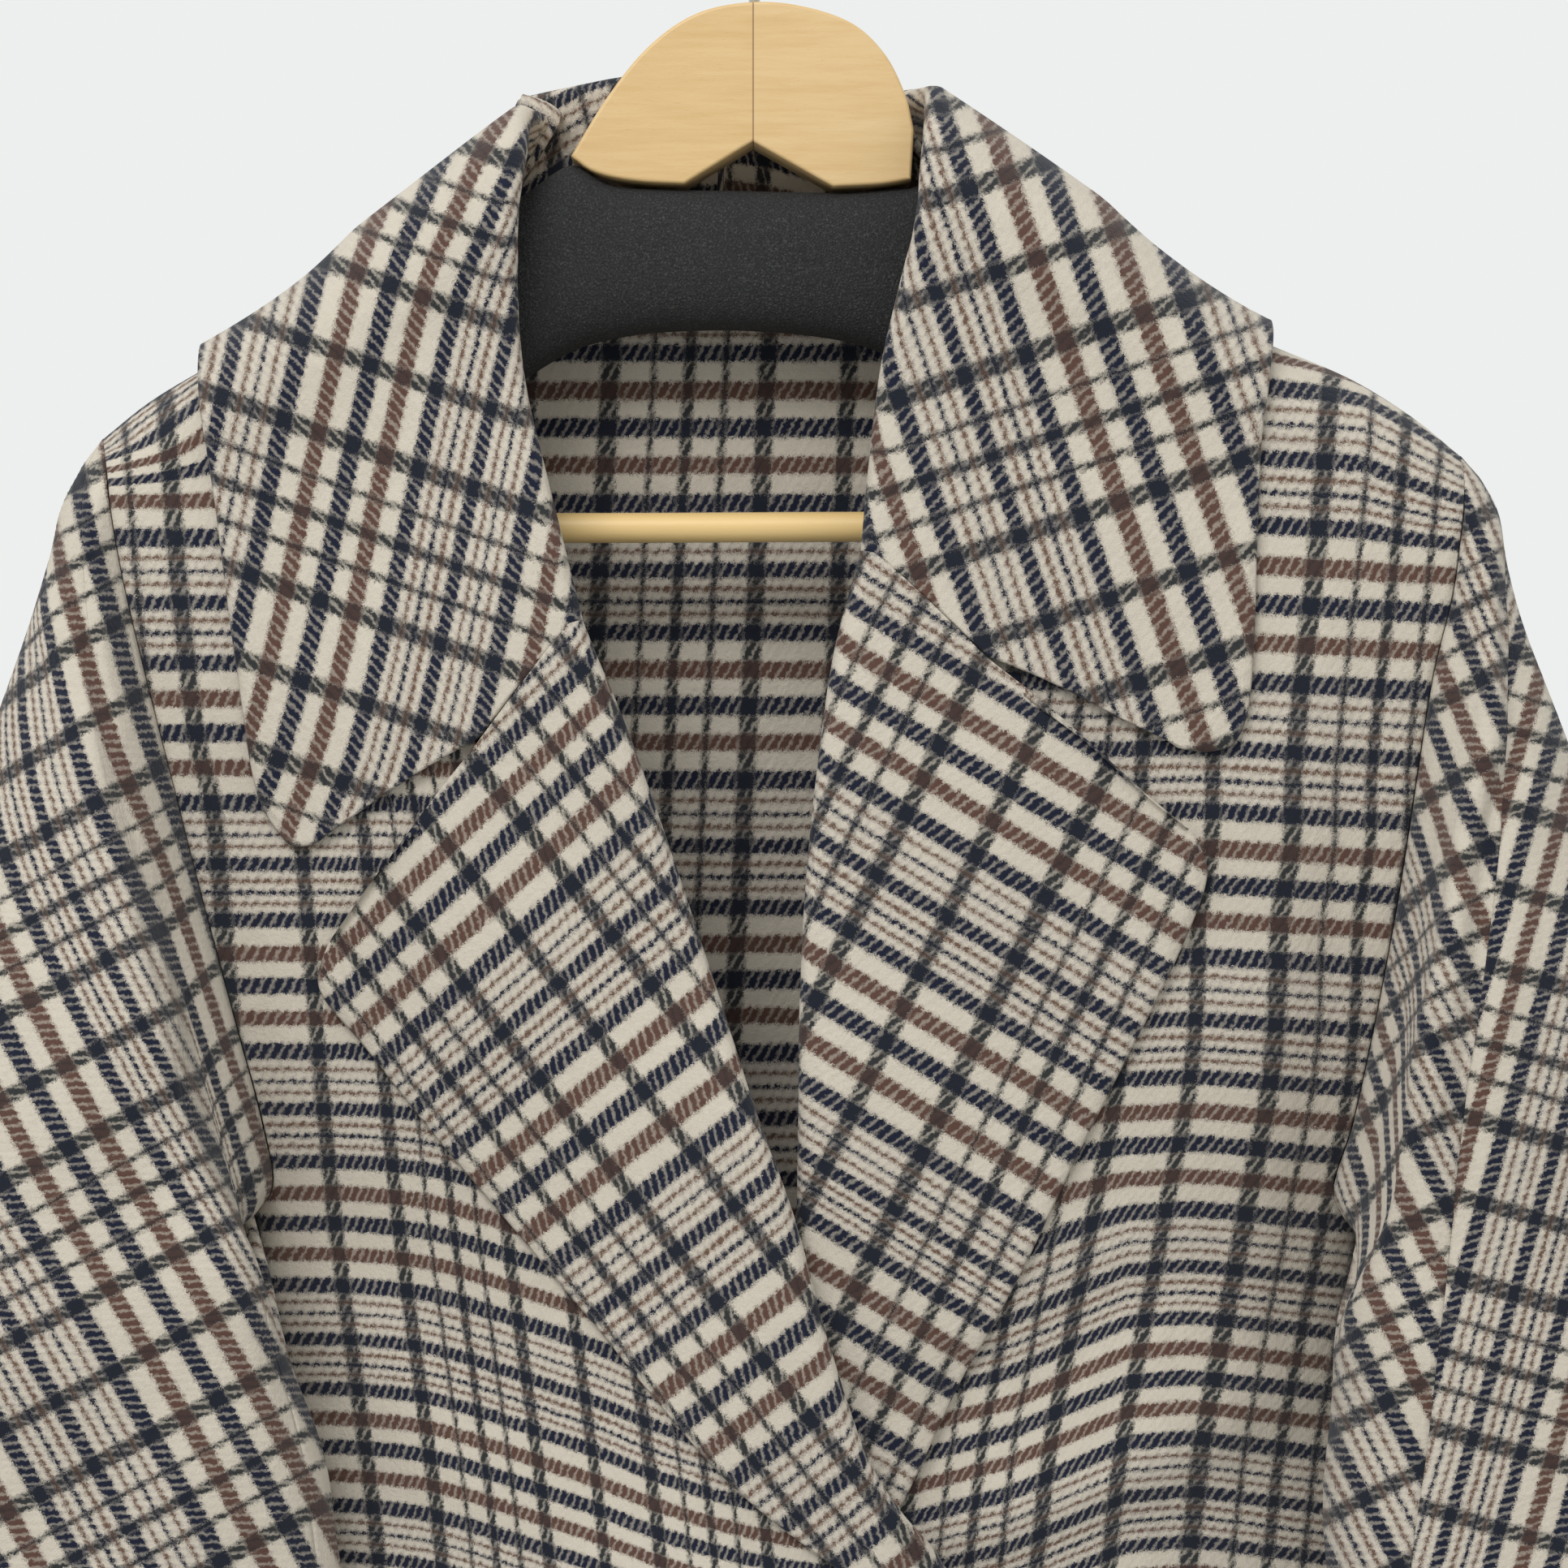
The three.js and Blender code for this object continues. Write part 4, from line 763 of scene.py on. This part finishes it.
def sleeve_cloth(grid, out, front, behind):
    """Check on a sleeve: as the camera sees it, and on round the arm by the cloth's length. The columns begin at
    the front seam; front lies from there to the underarm and behind the rest of the way."""
    px, py = pixels(grid[..., 0], grid[..., 1], grid[..., 2])
    step = np.linalg.norm(np.diff(grid, axis=1), axis=-1) / PX
    seen = np.abs(np.diff(px, axis=1))
    more = np.maximum(0.45 * step - seen, 0)
    near = np.pad(more, ((STEADY, STEADY), (0, 0)), "edge")
    more = sum(near[n:n + len(more)] for n in range(2 * STEADY + 1)) / (2 * STEADY + 1)
    away = np.clip(np.arange(more.shape[1]) / more.shape[1], 0, 1)
    wide = seen + more * np.minimum(ease(away, 0.18, 0.34), ease(1 - away, 0.18, 0.34))
    cols = grid.shape[1]
    x = np.zeros(px.shape)
    x[:, 1:] = np.cumsum(wide, 1)
    inward = px[:, :1] - out * x
    back = np.cumsum(wide[:, ::-1], 1)[:, ::-1]
    outward = px[:, -1:] + out * np.concatenate([back, np.zeros((len(px), 1))], 1)
    under = int(cols * 0.56)
    use_front = (np.arange(cols) <= under)[None, :, None]
    return np.where(use_front, front(inward, py), behind(outward, py))


# Materials

def material(name):
    m = bpy.data.materials.new(name)
    m.use_nodes = True
    tree = m.node_tree
    shader = tree.nodes["Principled BSDF"]
    return m, tree, shader


class Nodes:
    """Short names for the nodes of one material."""

    def __init__(self, tree):
        self.tree = tree

    def node(self, kind, inputs=(), **settings):
        made = self.tree.nodes.new(kind)
        for key, value in settings.items():
            setattr(made, key, value)
        for key, value in dict(inputs).items():
            if isinstance(value, bpy.types.NodeSocket):
                self.tree.links.new(value, made.inputs[key])
            else:
                made.inputs[key].default_value = value
        return made

    def math(self, operation, a, b=0.0, c=0.0, clamp=False):
        made = self.node("ShaderNodeMath", {0: a, 1: b, 2: c}, operation=operation, use_clamp=clamp)
        return made.outputs[0]

    def mix(self, factor, a, b, blend="MIX"):
        made = self.tree.nodes.new("ShaderNodeMix")
        made.data_type = "RGBA"
        made.blend_type = blend
        for socket, value in ((made.inputs[0], factor), (made.inputs[6], a), (made.inputs[7], b)):
            if isinstance(value, bpy.types.NodeSocket):
                self.tree.links.new(value, socket)
            else:
                socket.default_value = value
        return made.outputs[2]

    def noise(self, vector, scale, detail=2.0, roughness=0.5):
        made = self.node("ShaderNodeTexNoise", {"Vector": vector, "Scale": scale, "Detail": detail,
                                                "Roughness": roughness})
        return made.outputs["Fac"]

    def ramp(self, factor, stops, interpolation="LINEAR"):
        made = self.node("ShaderNodeValToRGB", {0: factor})
        ramp = made.color_ramp
        ramp.interpolation = interpolation
        while len(ramp.elements) > 1:
            ramp.elements.remove(ramp.elements[-1])
        ramp.elements[0].position = stops[0][0]
        ramp.elements[0].color = stops[0][1]
        for place, colour in stops[1:]:
            ramp.elements.new(place).color = colour
        return made.outputs["Color"]


def colour(r, g, b):
    """A colour given from 0 to 255 as seen on a screen."""
    linear = [(v / 255 / 12.92) if v <= 10 else ((v / 255 + 0.055) / 1.055) ** 2.4 for v in (r, g, b)]
    return (*linear, 1.0)


CREAM = colour(201, 192, 177)
GREY_CREAM = colour(174, 166, 158)
NAVY = colour(24, 29, 47)
BROWN = colour(90, 65, 56)
GREEN = colour(30, 34, 38)
DOT_BROWN = colour(104, 80, 66)

# Weft bands, in parts of their repeat, from the middle of a wide navy band
WEFT_BANDS = [
    (13, NAVY),
    (9, GREY_CREAM), (7, DOT_BROWN), (10, GREY_CREAM), (7, NAVY), (10, GREY_CREAM), (7, DOT_BROWN), (9, GREY_CREAM),
    (22, NAVY),
    (8, GREY_CREAM), (7, DOT_BROWN), (9, GREY_CREAM), (7, NAVY), (9, GREY_CREAM), (7, DOT_BROWN), (7, GREY_CREAM),
    (24, NAVY), (22, CREAM), (24, BROWN), (21, CREAM), (25, NAVY), (21, CREAM), (24, BROWN), (22, CREAM),
    (13, NAVY),
]
# Warp stripes, in parts of their repeat, from the middle of a wide one
WARP_STRIPES = [
    (11, GREEN), (78, CREAM), (24, GREEN), (36, CREAM), (9, GREEN), (32, CREAM), (15, GREEN), (32, CREAM),
    (9, GREEN), (36, CREAM), (22, GREEN), (79, CREAM), (10, GREEN),
]
TWILL = 3.4


def stops_of(bands):
    """Even steps of colour; the undyed ones are given no alpha."""
    whole = sum(width for width, _ in bands)
    stops, at = [], 0
    for width, tone in bands:
        stops.append((at / whole, (*tone[:3], 0.0 if tone in (CREAM, GREY_CREAM) else 1.0)))
        at += width
    return stops


def wool(name):
    m, tree, shader = material(name)
    n = Nodes(tree)
    place = n.node("ShaderNodeAttribute", attribute_name="cloth").outputs["Vector"]
    object_place = n.node("ShaderNodeTexCoord").outputs["Object"]
    # Nap pulls the edges of the colours out of line, and single fibres blur them
    hair = n.noise(object_place, 2300.0, 2.0, 0.7)
    wander = n.node("ShaderNodeTexNoise", {"Vector": object_place, "Scale": 560.0, "Detail": 3.0}).outputs["Color"]
    wander = n.node("ShaderNodeVectorMath", {0: wander, 1: (0.5, 0.5, 0.5)}, operation="SUBTRACT").outputs[0]
    wander = n.node("ShaderNodeVectorMath", {0: wander, "Scale": 0.0024}, operation="SCALE").outputs[0]
    moved = n.node("ShaderNodeVectorMath", {0: place, 1: wander}, operation="ADD").outputs[0]
    parts = n.node("ShaderNodeSeparateXYZ", {0: moved})
    u, v = parts.outputs[0], parts.outputs[1]
    hand = n.node("ShaderNodeSeparateXYZ", {0: place}).outputs[2]
    # Twill lines, one in four threads
    lean = n.math("MULTIPLY", v, n.math("SUBTRACT", 0.5, hand))
    line = n.math("PINGPONG", n.math("MULTIPLY", n.math("ADD", u, lean), 1000 / TWILL), 0.5)
    line = n.math("MULTIPLY", line, 2.0)
    tooth = n.math("MULTIPLY", n.math("SUBTRACT", line, 0.5), 0.0003)
    tooth = n.math("ADD", tooth, n.math("MULTIPLY", n.math("SUBTRACT", hair, 0.5), 0.0038))

    def soft(at, repeat, bands):
        """Colour and dyed share of the bands, their edges blurred by the nap."""
        pair = []
        for blur in (-0.0004, 0.0004):
            place = n.math("FRACT", n.math("MULTIPLY", n.math("ADD", at, n.math("ADD", tooth, blur)), 1000 / repeat))
            pair.append(n.ramp(place, stops_of(bands), "CONSTANT"))
        dyed = [half.node.outputs["Alpha"] for half in pair]
        return n.mix(0.5, *pair), n.math("MULTIPLY", n.math("ADD", *dyed), 0.5)

    weft, dyed_weft = soft(v, WEFT, WEFT_BANDS)
    warp, dyed_warp = soft(u, WARP, WARP_STRIPES)
    mottle = n.noise(object_place, 760.0, 3.0, 0.65)
    uneven = n.math("MULTIPLY", n.math("SUBTRACT", mottle, 0.5), 1.2)
    raised = n.math("ADD", line, uneven)
    over_dyed = n.node("ShaderNodeMapRange", {0: raised, 1: 0.0, 2: 0.6, 3: 0.62, 4: 1.0},
                       interpolation_type="SMOOTHSTEP").outputs[0]
    over_cream = n.node("ShaderNodeMapRange", {0: raised, 1: 0.4, 2: 1.0, 3: 0.03, 4: 0.5},
                        interpolation_type="SMOOTHSTEP").outputs[0]
    show = n.math("ADD", over_cream, n.math("MULTIPLY", dyed_weft, n.math("SUBTRACT", over_dyed, over_cream)))
    crossing = n.math("MULTIPLY", dyed_weft, dyed_warp)
    show = n.math("MULTIPLY", show, n.math("SUBTRACT", 1.0, n.math("MULTIPLY", crossing, 0.5)))
    woven = n.mix(show, warp, weft)
    # Slow changes of tone
    pill = n.noise(object_place, 210.0, 2.0, 0.6)
    slow = n.noise(object_place, 14.0, 2.0)
    level = n.math("ADD", n.math("MULTIPLY", hair, 0.36), n.math("MULTIPLY", slow, 0.14))
    level = n.math("ADD", level, n.math("MULTIPLY", pill, 0.16))
    level = n.math("ADD", level, 0.67)
    tone = n.mix(1.0, woven, n.node("ShaderNodeCombineColor", {0: level, 1: level, 2: level}).outputs[0], "MULTIPLY")
    tree.links.new(tone, shader.inputs["Base Color"])
    shader.inputs["Roughness"].default_value = 0.95
    shader.inputs["Specular IOR Level"].default_value = 0.08
    shader.inputs["Sheen Weight"].default_value = 0.12
    shader.inputs["Sheen Roughness"].default_value = 0.6
    height = n.math("ADD", n.math("MULTIPLY", line, 0.3), n.math("MULTIPLY", mottle, 1.2))
    height = n.math("ADD", height, n.math("MULTIPLY", hair, 0.6))
    height = n.math("ADD", height, n.math("MULTIPLY", pill, 1.4))
    bump = n.node("ShaderNodeBump", {"Height": height, "Strength": 0.5, "Distance": 0.0007})
    tree.links.new(bump.outputs[0], shader.inputs["Normal"])
    return m


def wood(name, mitre):
    m, tree, shader = material(name)
    n = Nodes(tree)
    place = n.node("ShaderNodeTexCoord").outputs["Object"]
    stretched = n.node("ShaderNodeMapping", {0: place, 3: (9.0, 60.0, 90.0)}).outputs[0]
    grain = n.noise(stretched, 4.0, 4.0, 0.6)
    cloud = n.noise(place, 16.0, 2.0)
    base = n.ramp(grain, [(0.3, colour(206, 169, 111)), (0.55, colour(215, 182, 128)), (0.8, colour(221, 191, 141))])
    base = n.mix(n.math("MULTIPLY", cloud, 0.5), base, colour(210, 176, 121))
    fine = n.noise(n.node("ShaderNodeMapping", {0: place, 3: (120.0, 700.0, 700.0)}).outputs[0], 3.0, 2.0)
    base = n.mix(n.math("MULTIPLY", n.math("GREATER_THAN", fine, 0.66), 0.18), base, colour(178, 138, 84))
    # Painted light: the bar's wood is mixed much paler than the head's same wood, a painted brightening that makes up
    # for the shade the bar hangs in
    if mitre is None:
        base = n.mix(0.8, base, colour(244, 209, 142))
    else:
        across = n.node("ShaderNodeSeparateXYZ", {0: place}).outputs[0]
        seam = n.math("ABSOLUTE", n.math("SUBTRACT", across, mitre))
        dark = n.math("LESS_THAN", seam, 0.00028)
        half = n.math("GREATER_THAN", across, mitre)
        base = n.mix(n.math("MULTIPLY", half, 0.12), base, colour(228, 202, 158))
        base = n.mix(n.math("MULTIPLY", dark, 0.72), base, colour(120, 84, 44))
    tree.links.new(base, shader.inputs["Base Color"])
    shader.inputs["Roughness"].default_value = 0.42
    shader.inputs["Coat Weight"].default_value = 0.15
    shader.inputs["Coat Roughness"].default_value = 0.3
    bump = n.node("ShaderNodeBump", {"Height": n.math("ADD", grain, fine), "Strength": 0.08, "Distance": 0.0005})
    tree.links.new(bump.outputs[0], shader.inputs["Normal"])
    return m


def foam(name):
    m, tree, shader = material(name)
    n = Nodes(tree)
    place = n.node("ShaderNodeTexCoord").outputs["Object"]
    grain = n.noise(place, 1500.0, 3.0, 0.6)
    cells = n.node("ShaderNodeTexVoronoi", {"Vector": place, "Scale": 1250.0}).outputs["Distance"]
    base = n.ramp(grain, [(0.3, colour(26, 26, 26)), (0.55, colour(45, 45, 45)), (0.78, colour(90, 90, 89))])
    cloud = n.noise(place, 20.0, 2.0)
    base = n.mix(n.math("MULTIPLY", cloud, 0.3), base, colour(60, 60, 62))
    tree.links.new(base, shader.inputs["Base Color"])
    shader.inputs["Roughness"].default_value = 0.88
    shader.inputs["Specular IOR Level"].default_value = 0.25
    height = n.math("ADD", n.math("MULTIPLY", cells, 0.8), grain)
    bump = n.node("ShaderNodeBump", {"Height": height, "Strength": 0.6, "Distance": 0.0008})
    tree.links.new(bump.outputs[0], shader.inputs["Normal"])
    return m


def steel(name):
    m, tree, shader = material(name)
    n = Nodes(tree)
    place = n.node("ShaderNodeTexCoord").outputs["Object"]
    rub = n.noise(n.node("ShaderNodeMapping", {0: place, 3: (1.0, 1.0, 0.2)}).outputs[0], 900.0, 3.0)
    base = n.ramp(rub, [(0.3, colour(188, 190, 194)), (0.7, colour(216, 218, 221))])
    tree.links.new(base, shader.inputs["Base Color"])
    shader.inputs["Metallic"].default_value = 1.0
    rough = n.node("ShaderNodeMapRange", {0: rub, 1: 0.3, 2: 0.7, 3: 0.22, 4: 0.34}).outputs[0]
    tree.links.new(rough, shader.inputs["Roughness"])
    return m


CHECK = wool("check_wool")
HEAD_WOOD = wood("head_wood", -0.00033)
# Paler copy of the head's wood, with painted light for the shaded bar
BAR_WOOD = wood("bar_wood", None)
FOAM = foam("dark_foam")
STEEL = steel("steel_wire")


def dress(piece, look, slot, *nodes):
    piece.data.materials.append(look)
    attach(piece, "root")
    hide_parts(*nodes)


def solid(name, points, faces):
    """A smooth closed piece from points in millimetres."""
    mesh = bpy.data.meshes.new(name)
    mesh.from_pydata((np.asarray(points) / 1000).tolist(), [], faces)
    mesh.update()
    piece = bpy.data.objects.new(name, mesh)
    bpy.context.scene.collection.objects.link(piece)
    outside(mesh)
    smooth(mesh)
    return piece


def loft(name, rings):
    """A closed piece through rings of the same count; its two ends are flat."""
    rings = np.asarray(rings)
    rows, count = rings.shape[:2]
    faces = []
    for i in range(rows - 1):
        for j in range(count):
            k = (j + 1) % count
            faces.append((i * count + j, i * count + k, (i + 1) * count + k, (i + 1) * count + j))
    faces.append(tuple(range(count - 1, -1, -1)))
    faces.append(tuple((rows - 1) * count + j for j in range(count)))
    return solid(name, rings.reshape(-1, 3), faces)


def wire(name, route, radius, sides=20):
    """Round wire along a route in the plane y = 0, with rounded ends."""
    way = unit(np.gradient(route, axis=0))
    across = np.stack([way[:, 2], 0 * way[:, 0], -way[:, 0]], -1)
    turn = np.linspace(0, 2 * np.pi, sides, endpoint=False)
    rings = []
    for k in range(len(route)):
        spread = across[k] * np.cos(turn)[:, None] + np.array([0, 1, 0]) * np.sin(turn)[:, None]
        if k in (0, len(route) - 1):
            back = -1 if k == 0 else 1
            caps = [route[k] + back * way[k] * radius * np.sin(a) + spread * radius * np.cos(a)
                    for a in (0.4, 0.8, 1.2, 1.5)]
            rings += caps[::-1] + [route[k] + spread * radius] if k == 0 else [route[k] + spread * radius] + caps
        else:
            rings.append(route[k] + spread * radius)
    return loft(name, rings)


HEAD_DEPTH = 22
HEAD_EDGE = 1.1
HEAD_DOME = [
    (55, -116), (52, -104), (45, -90), (34, -79.5), (17, -73.5), (-1, -72), (-20, -76), (-36, -87),
    (-50, -104), (-63, -125),
]
HEAD_FOOT = [(-57, -129.5), (-50, -132), (-38, -133.8), (-24, -134.5)]
HEAD_NOTCH = (-0.5, -120)
HEAD_FOOT_RIGHT = [(27, -135.5), (44, -134.6), (54, -133)]


def along_smooth(points, count):
    """Even steps along a smooth line through given places."""
    points = np.array(points, float)
    step = np.concatenate([[0], np.cumsum(np.hypot(*np.diff(points, axis=0).T))])
    at = np.linspace(0, step[-1], count)
    line = Line([(s, *p) for s, p in zip(step, points)])
    return np.stack([line(at, 0), line(at, 1)], -1)


def wooden_head():
    """Board with a smooth dome, a notch in its foot and softened edges."""
    dome = along_smooth(HEAD_DOME, 90)
    left = along_smooth([HEAD_DOME[-1], *HEAD_FOOT], 16)[1:]
    to_notch = mix(np.array(HEAD_FOOT[-1]), np.array(HEAD_NOTCH), np.linspace(0, 1, 9)[1:, None])
    from_notch = mix(np.array(HEAD_NOTCH), np.array(HEAD_FOOT_RIGHT[0]), np.linspace(0, 1, 9)[1:, None])
    right = along_smooth(HEAD_FOOT_RIGHT, 12)[1:]
    side = mix(right[-1], dome[0], np.linspace(0, 1, 6)[1:-1, None])
    outline = np.concatenate([dome, left, to_notch, from_notch, right, side])
    way = np.roll(outline, -1, 0) - np.roll(outline, 1, 0)
    inward = unit(np.stack([-way[:, 1], way[:, 0]], -1))
    middle = outline.mean(0)
    if np.einsum("ij,ij->i", inward, middle - outline).sum() < 0:
        inward = -inward
    half = HEAD_DEPTH / 2
    front = [(-half + HEAD_EDGE * (1 - math.cos(t)), HEAD_EDGE * (1 - math.sin(t)))
             for t in np.linspace(0, math.pi / 2, 5)]
    layers = front + [(-y, inset) for y, inset in front[::-1]]
    rings = []
    for y, inset in layers:
        flat = outline + inward * inset
        rings.append(np.stack([flat[:, 0], np.full(len(flat), y), flat[:, 1]], -1))
    piece = loft("wood_head", rings)
    for face in piece.data.polygons:
        face.use_smooth = len(face.vertices) == 4
    return piece


ARM_HALF_DEPTH = 17
ARM_POWER = 0.8
ARMS = [
    (-215, -232, -245), (-212, -219, -255), (-204, -210.5, -263), (-190, -201.6, -267), (-170, -190.4, -262),
    (-149, -179.1, -249), (-121, -160, -229), (-100, -146.8, -214), (-80, -137.5, -201), (-63, -127, -191),
    (-50, -133.5, -187), (-33, -135.2, -184.5), (-1, -136, -184), (31, -136.5, -187.5), (50, -135, -194),
    (62, -134.5, -200), (80, -143.5, -212), (101, -152, -225), (132, -170.2, -243), (171, -190, -263),
    (200, -202.2, -269), (219, -213.6, -267), (230, -227, -259), (233, -237, -249),
]


def padded_arms():
    table = Line(ARMS)
    turn = np.linspace(0, 2 * np.pi, 56, endpoint=False)
    power = lambda value: np.sign(value) * np.abs(value) ** ARM_POWER
    ends = np.linspace(0, 1, 12) ** 2
    xs = np.concatenate([-215 + 8 * ends, np.linspace(-206, 224, 210), 233 - 8 * ends[::-1]])
    rings = []
    for x in xs:
        top, bottom = float(table(x, 0)), float(table(x, 1))
        tall = (top - bottom) / 2
        thin = ARM_HALF_DEPTH * math.sqrt(min(1, tall / 14))
        uneven = 1 + 0.012 * math.sin(x / 9 + 2 * math.sin(x / 31))
        ring = [(x, thin * uneven * power(math.cos(t)), (top + bottom) / 2 + tall * power(math.sin(t))) for t in turn]
        rings.append(ring)
    return loft("foam_arms", rings)


BAR_RADIUS = 5.2
BAR_Z = -252
BAR_ENDS = (-178, 184)
HOOK_RADIUS = 24
WIRE_RADIUS = 2
HEAD_TOP = -72


def build_hanger():
    dress(wooden_head(), HEAD_WOOD, "pale_wood", "hanger_head")
    arms = padded_arms()
    dress(arms, FOAM, "dark_foam", "hanger_arms")
    xs = np.linspace(BAR_ENDS[0] + BAR_RADIUS, BAR_ENDS[1] - BAR_RADIUS, 120)
    route = np.stack([xs, 0 * xs, BAR_Z + 0.25 * np.sin(xs / 45)], -1)
    dress(wire("wood_bar", route, BAR_RADIUS, 40), BAR_WOOD, "pale_wood", "trouser_bar")
    turn = np.radians([-55, -30, 0, 30, 60, 90, 120, 150, 180, 203])
    bend = np.stack([HOOK_RADIUS * np.cos(turn), WIRE_RADIUS - HOOK_RADIUS + HOOK_RADIUS * np.sin(turn)], -1)
    flat = along_smooth([(0, HEAD_TOP + 0.3 + WIRE_RADIUS), (0, -62), (0, -54), *bend], 150)
    route = np.stack([flat[:, 0], 0 * flat[:, 0], flat[:, 1]], -1)
    dress(wire("steel_hook", route, WIRE_RADIUS), STEEL, "steel_wire", "hook")


def build_cloth():
    """Each piece of cloth: outer points, way out, place on the check, and the length and width it is cut from."""
    points, normals, x, girth = back_panel()
    yield "back", points, normals, back_cloth(points, x, girth), (0.70, 1.0)
    points, normals, x, girth = front_panel(ARMHOLE_LEFT, EDGE_LEFT, True)
    yield "front_left", points, normals, left_front_cloth(points, x, girth), (0.42, 1.0)
    points, normals, x, girth = front_panel(ARMHOLE_RIGHT, EDGE_RIGHT, False)
    yield "front_right", points, normals, right_front_cloth(points, x, girth), (0.42, 1.0)
    points = lapel(EDGE_LEFT, LAPEL_LEFT, LAPEL_LEFT_NOTCH, True, 1, 7.0)
    yield ("lapel_left", points, grid_normals(points, (0, -1, 0)), lapel_cloth(points, ON_LAPEL_LEFT, 1),
           (0.16, 0.42))
    points = lapel(EDGE_RIGHT, LAPEL_RIGHT, LAPEL_RIGHT_NOTCH, False, -1, 10.0)
    yield ("lapel_right", points, grid_normals(points, (0, -1, 0)), lapel_cloth(points, ON_LAPEL_RIGHT, -1),
           (0.17, 0.45))
    points, q = collar()
    yield "collar", points, grid_normals(points, (0, 1, 0)), collar_cloth(points, q), (0.22, 0.9)
    for side, armhole, sections, line, front, behind, flat in (
            ("left", ARMHOLE_LEFT, SLEEVE_LEFT, LEFT_SLEEVE_CREASE, ON_SLEEVE_LEFT, ON_SLEEVE_LEFT, (0.66, 0.71)),
            ("right", ARMHOLE_RIGHT, SLEEVE_RIGHT, RIGHT_SLEEVE_SEAM, ON_SLEEVE_RIGHT_FRONT,
             ON_SLEEVE_RIGHT_BEHIND, (0.64, 0.61))):
        out = float(np.sign(armhole[0][0]))
        tube = sleeve(armhole, sections)
        grid = opened(pressed(tube, out, line), line)
        ways = unit(np.cross(np.gradient(grid, axis=0), np.gradient(grid, axis=1))) * -out
        yield "sleeve_" + side, grid, ways, sleeve_cloth(grid, out, front, behind), flat


for name, points, normals, cloth, flat in build_cloth():
    shown = shell("wool_" + name, points, normals, cloth)
    dress(shown, CHECK, "check_wool", name)

build_hanger()

# Stage, light and camera
scene = bpy.context.scene
bpy.ops.mesh.primitive_plane_add(size=9, location=(0, 0, -1.42))
floor = bpy.context.object
floor.name = "floor"
m, tree, shader = material("pale_floor")
n = Nodes(tree)
speck = n.noise(n.node("ShaderNodeTexCoord").outputs["Object"], 30.0, 3.0)
tree.links.new(n.ramp(speck, [(0.3, colour(205, 206, 206)), (0.7, colour(212, 213, 213))]), shader.inputs["Base Color"])
shader.inputs["Roughness"].default_value = 0.8
floor.data.materials.append(m)

# Pale room: even round the middle, brighter above, darker below
world = bpy.data.worlds.new("studio")
scene.world = world
world.use_nodes = True
n = Nodes(world.node_tree)
room = world.node_tree.nodes["Background"]
height = n.node("ShaderNodeSeparateXYZ", {0: n.node("ShaderNodeTexCoord").outputs["Generated"]}).outputs[2]
height = n.math("ADD", n.math("MULTIPLY", height, 0.5), 0.5)
dim, even, bright = (colour(tone, tone + 2, tone + 1) for tone in (120, 237, 253))
world.node_tree.links.new(n.ramp(height, [(0.2, dim), (0.38, even), (0.62, even), (0.85, bright)]), room.inputs[0])
# Less light from the camera's side, so that folds keep their shade
toward = n.node("ShaderNodeSeparateXYZ", {0: n.node("ShaderNodeTexCoord").outputs["Generated"]}).outputs[1]
power = n.node("ShaderNodeMapRange", {0: toward, 1: -0.2, 2: 0.7, 3: 0.84, 4: 1.0}).outputs[0]
world.node_tree.links.new(power, room.inputs[1])


def softbox(name, place, aim, size, power):
    light = bpy.data.lights.new(name, "AREA")
    light.shape = "RECTANGLE"
    light.size, light.size_y = size
    light.energy = power
    lamp = bpy.data.objects.new(name, light)
    scene.collection.objects.link(lamp)
    lamp.location = place
    lamp.rotation_euler = (Vector(aim) - Vector(place)).to_track_quat("-Z", "Y").to_euler()


softbox("key", (-0.7, -1.7, 1.1), (0, 0, -0.45), (1.2, 0.8), 26)

camera = bpy.data.cameras.new("camera")
camera.sensor_width = 36
camera.lens = 36 * FRAME_DISTANCE / FRAME_WIDTH
camera.clip_start = 0.05
eye = bpy.data.objects.new("camera", camera)
scene.collection.objects.link(eye)
eye.location = [value / 1000 for value in EYE]
eye.rotation_euler = (math.pi / 2, 0, 0)
scene.camera = eye
scene.view_settings.view_transform = "Standard"
